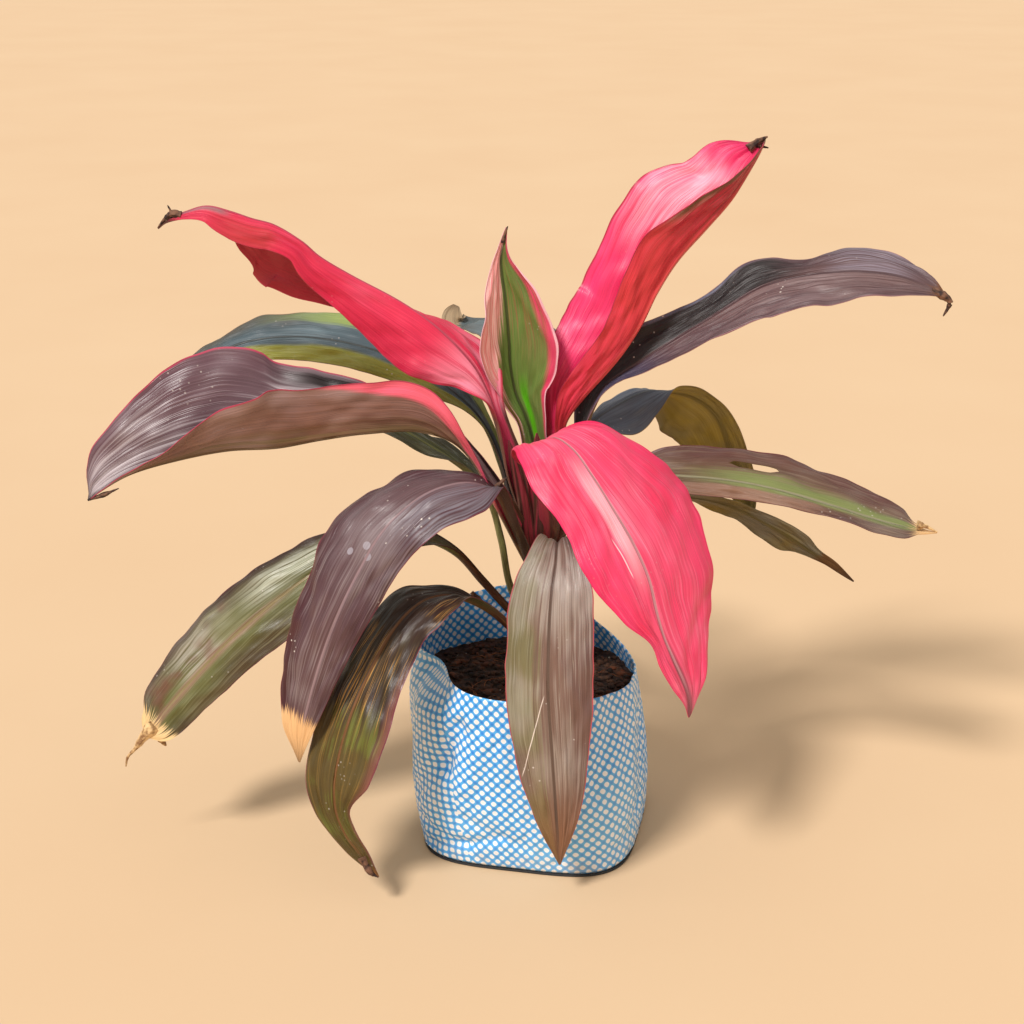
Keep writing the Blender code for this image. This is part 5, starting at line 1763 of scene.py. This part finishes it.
def make_curls(name, colours, curls):
    """Twisted scraps in one piece, their thickness uneven."""
    material, shader, place = new_finish(name + "_husk", 0.75)
    grain = place.noise(260.0, 3.0)
    dark, light = [tone(code) for code in colours]
    feed(shader, Base_Color=grain.ease(0.35, 0.65).blend(dark, light), Normal=bump(grain, 0.0006))
    draw = random.Random(name)
    points, faces = [], []
    for curl in curls:
        stops = range(len(curl))
        at = np.linspace(0, stops[-1], CURL_STEPS)
        *places, half_widths = zip(*curl)
        path = np.stack([smooth_track(stops, values, at) for values in places], axis=1)
        radii = np.maximum(np.interp(at, stops, half_widths), CURL_LEAST)
        radii = [radius * draw.uniform(0.8, 1.15) for radius in radii]
        ring, skin = tube(path, radii, CURL_SIDES)
        faces += [tuple(corner + len(points) for corner in face) for face in skin]
        points += ring
    scraps = new_piece(name, points, faces, material)
    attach(scraps, "root")


make_curls("dried_tips_dark", ("#2A1814", "#7A5642"), [
    [(-0.246, -0.010, 0.487, 0.0030), (-0.252, -0.010, 0.488, 0.0026), (-0.257, -0.010, 0.485, 0.0014),
     (-0.263, -0.010, 0.478, 0.0004)],
    [(-0.252, -0.010, 0.488, 0.0014), (-0.255, -0.010, 0.494, 0.0004)],
    [(0.157, 0.046, 0.525, 0.0034), (0.164, 0.048, 0.530, 0.0024), (0.171, 0.050, 0.533, 0.0006)],
    [(0.163, 0.048, 0.527, 0.0020), (0.172, 0.050, 0.525, 0.0005)],
    [(0.290, 0.011, 0.429, 0.0030), (0.298, 0.009, 0.425, 0.0034), (0.303, 0.009, 0.421, 0.0022),
     (0.302, 0.009, 0.416, 0.0016), (0.299, 0.009, 0.410, 0.0005)],
    [(-0.123, -0.127, 0.042, 0.0034), (-0.117, -0.129, 0.031, 0.0022), (-0.111, -0.130, 0.027, 0.0005)],
    [(-0.311, -0.080, 0.300, 0.0008), (-0.300, -0.079, 0.3035, 0.0018), (-0.289, -0.078, 0.308, 0.0004)],
    [(-0.044, -0.029, 0.209, 0.0016), (-0.039, -0.030, 0.2035, 0.0026), (-0.034, -0.030, 0.198, 0.0010)],
    [(-0.021, 0.018, 0.462, 0.0018), (-0.019, 0.018, 0.469, 0.0011), (-0.017, 0.018, 0.474, 0.0004)],
    [(-0.026, -0.036, 0.293, 0.0026), (-0.021, -0.036, 0.299, 0.0013), (-0.017, -0.036, 0.302, 0.0004)],
])
make_curls("dried_tips_pale", ("#8A6440", "#E0BC88"), [
    [(-0.284, -0.048, 0.108, 0.0060), (-0.2925, -0.049, 0.0985, 0.0040), (-0.299, -0.049, 0.0895, 0.0016),
     (-0.3055, -0.049, 0.082, 0.0012), (-0.3075, -0.049, 0.074, 0.0004)],
    [(-0.283, -0.048, 0.104, 0.0040), (-0.279, -0.048, 0.096, 0.0030), (-0.276, -0.048, 0.091, 0.0006)],
    [(0.286, -0.020, 0.259, 0.0036), (0.292, -0.020, 0.258, 0.0016), (0.301, -0.020, 0.2535, 0.0005)],
])


# The floor, the light and the camera
# A plain pale floor under soft studio light: one large lamp high at the left front, and an even warm
# surround. The camera looks down at the plant, as in the photo.
CAMERA_LENS = 62.0
SENSOR_WIDTH = 36.0
CAMERA_DISTANCE = 1.3226
CAMERA_DOWN = 20.0
CAMERA_AIM = (-0.014, 0.0, 0.262)
FLOOR_HALF_SIDE = 60.0
SURROUND_STRENGTH = 0.62


def make_floor():
    material, shader, place = new_finish("floor_paint", 0.85)
    feed(shader, Base_Color=place.noise(2.5, 3.0).blend(tone("#D6B590"), tone("#DCBE9A")))
    size = FLOOR_HALF_SIDE
    corners = [(-size, -size, 0), (size, -size, 0), (size, size, 0), (-size, size, 0)]
    floor = new_piece("floor", corners, [(0, 1, 2, 3)], material)


def make_sun(name, left, height, strength, spread, colour):
    """A distant lamp, in degrees left of the camera and up, whose spread in degrees softens its shadows."""
    light = bpy.data.lights.new(name, "SUN")
    light.energy = strength
    light.angle = math.radians(spread)
    light.color = colour
    lamp = bpy.data.objects.new(name, light)
    turn, rise = math.radians(left), math.radians(height)
    way = Vector((-math.sin(turn) * math.cos(rise), -math.cos(turn) * math.cos(rise), math.sin(rise)))
    lamp.rotation_euler = (-way).to_track_quat("-Z", "Y").to_euler()
    bpy.context.scene.collection.objects.link(lamp)


def make_surround():
    world = bpy.data.worlds.new("studio")
    world.use_nodes = True
    sky = world.node_tree.nodes["Background"]
    sky.inputs["Color"].default_value = tone("#FFF9F0")
    sky.inputs["Strength"].default_value = SURROUND_STRENGTH
    bpy.context.scene.world = world


def make_camera():
    down = math.radians(CAMERA_DOWN)
    lens = bpy.data.cameras.new("camera")
    lens.lens = CAMERA_LENS
    lens.sensor_width = SENSOR_WIDTH
    camera = bpy.data.objects.new("camera", lens)
    camera.location = (
        CAMERA_AIM[0],
        CAMERA_AIM[1] - CAMERA_DISTANCE * math.cos(down),
        CAMERA_AIM[2] + CAMERA_DISTANCE * math.sin(down),
    )
    camera.rotation_euler = (math.pi / 2 - down, 0, 0)
    bpy.context.scene.collection.objects.link(camera)
    bpy.context.scene.camera = camera


make_floor()
make_sun("key", left=38, height=50, strength=3.0, spread=12, colour=(1.0, 0.97, 0.93))
make_surround()
make_camera()
bpy.context.scene.view_settings.view_transform = "Standard"
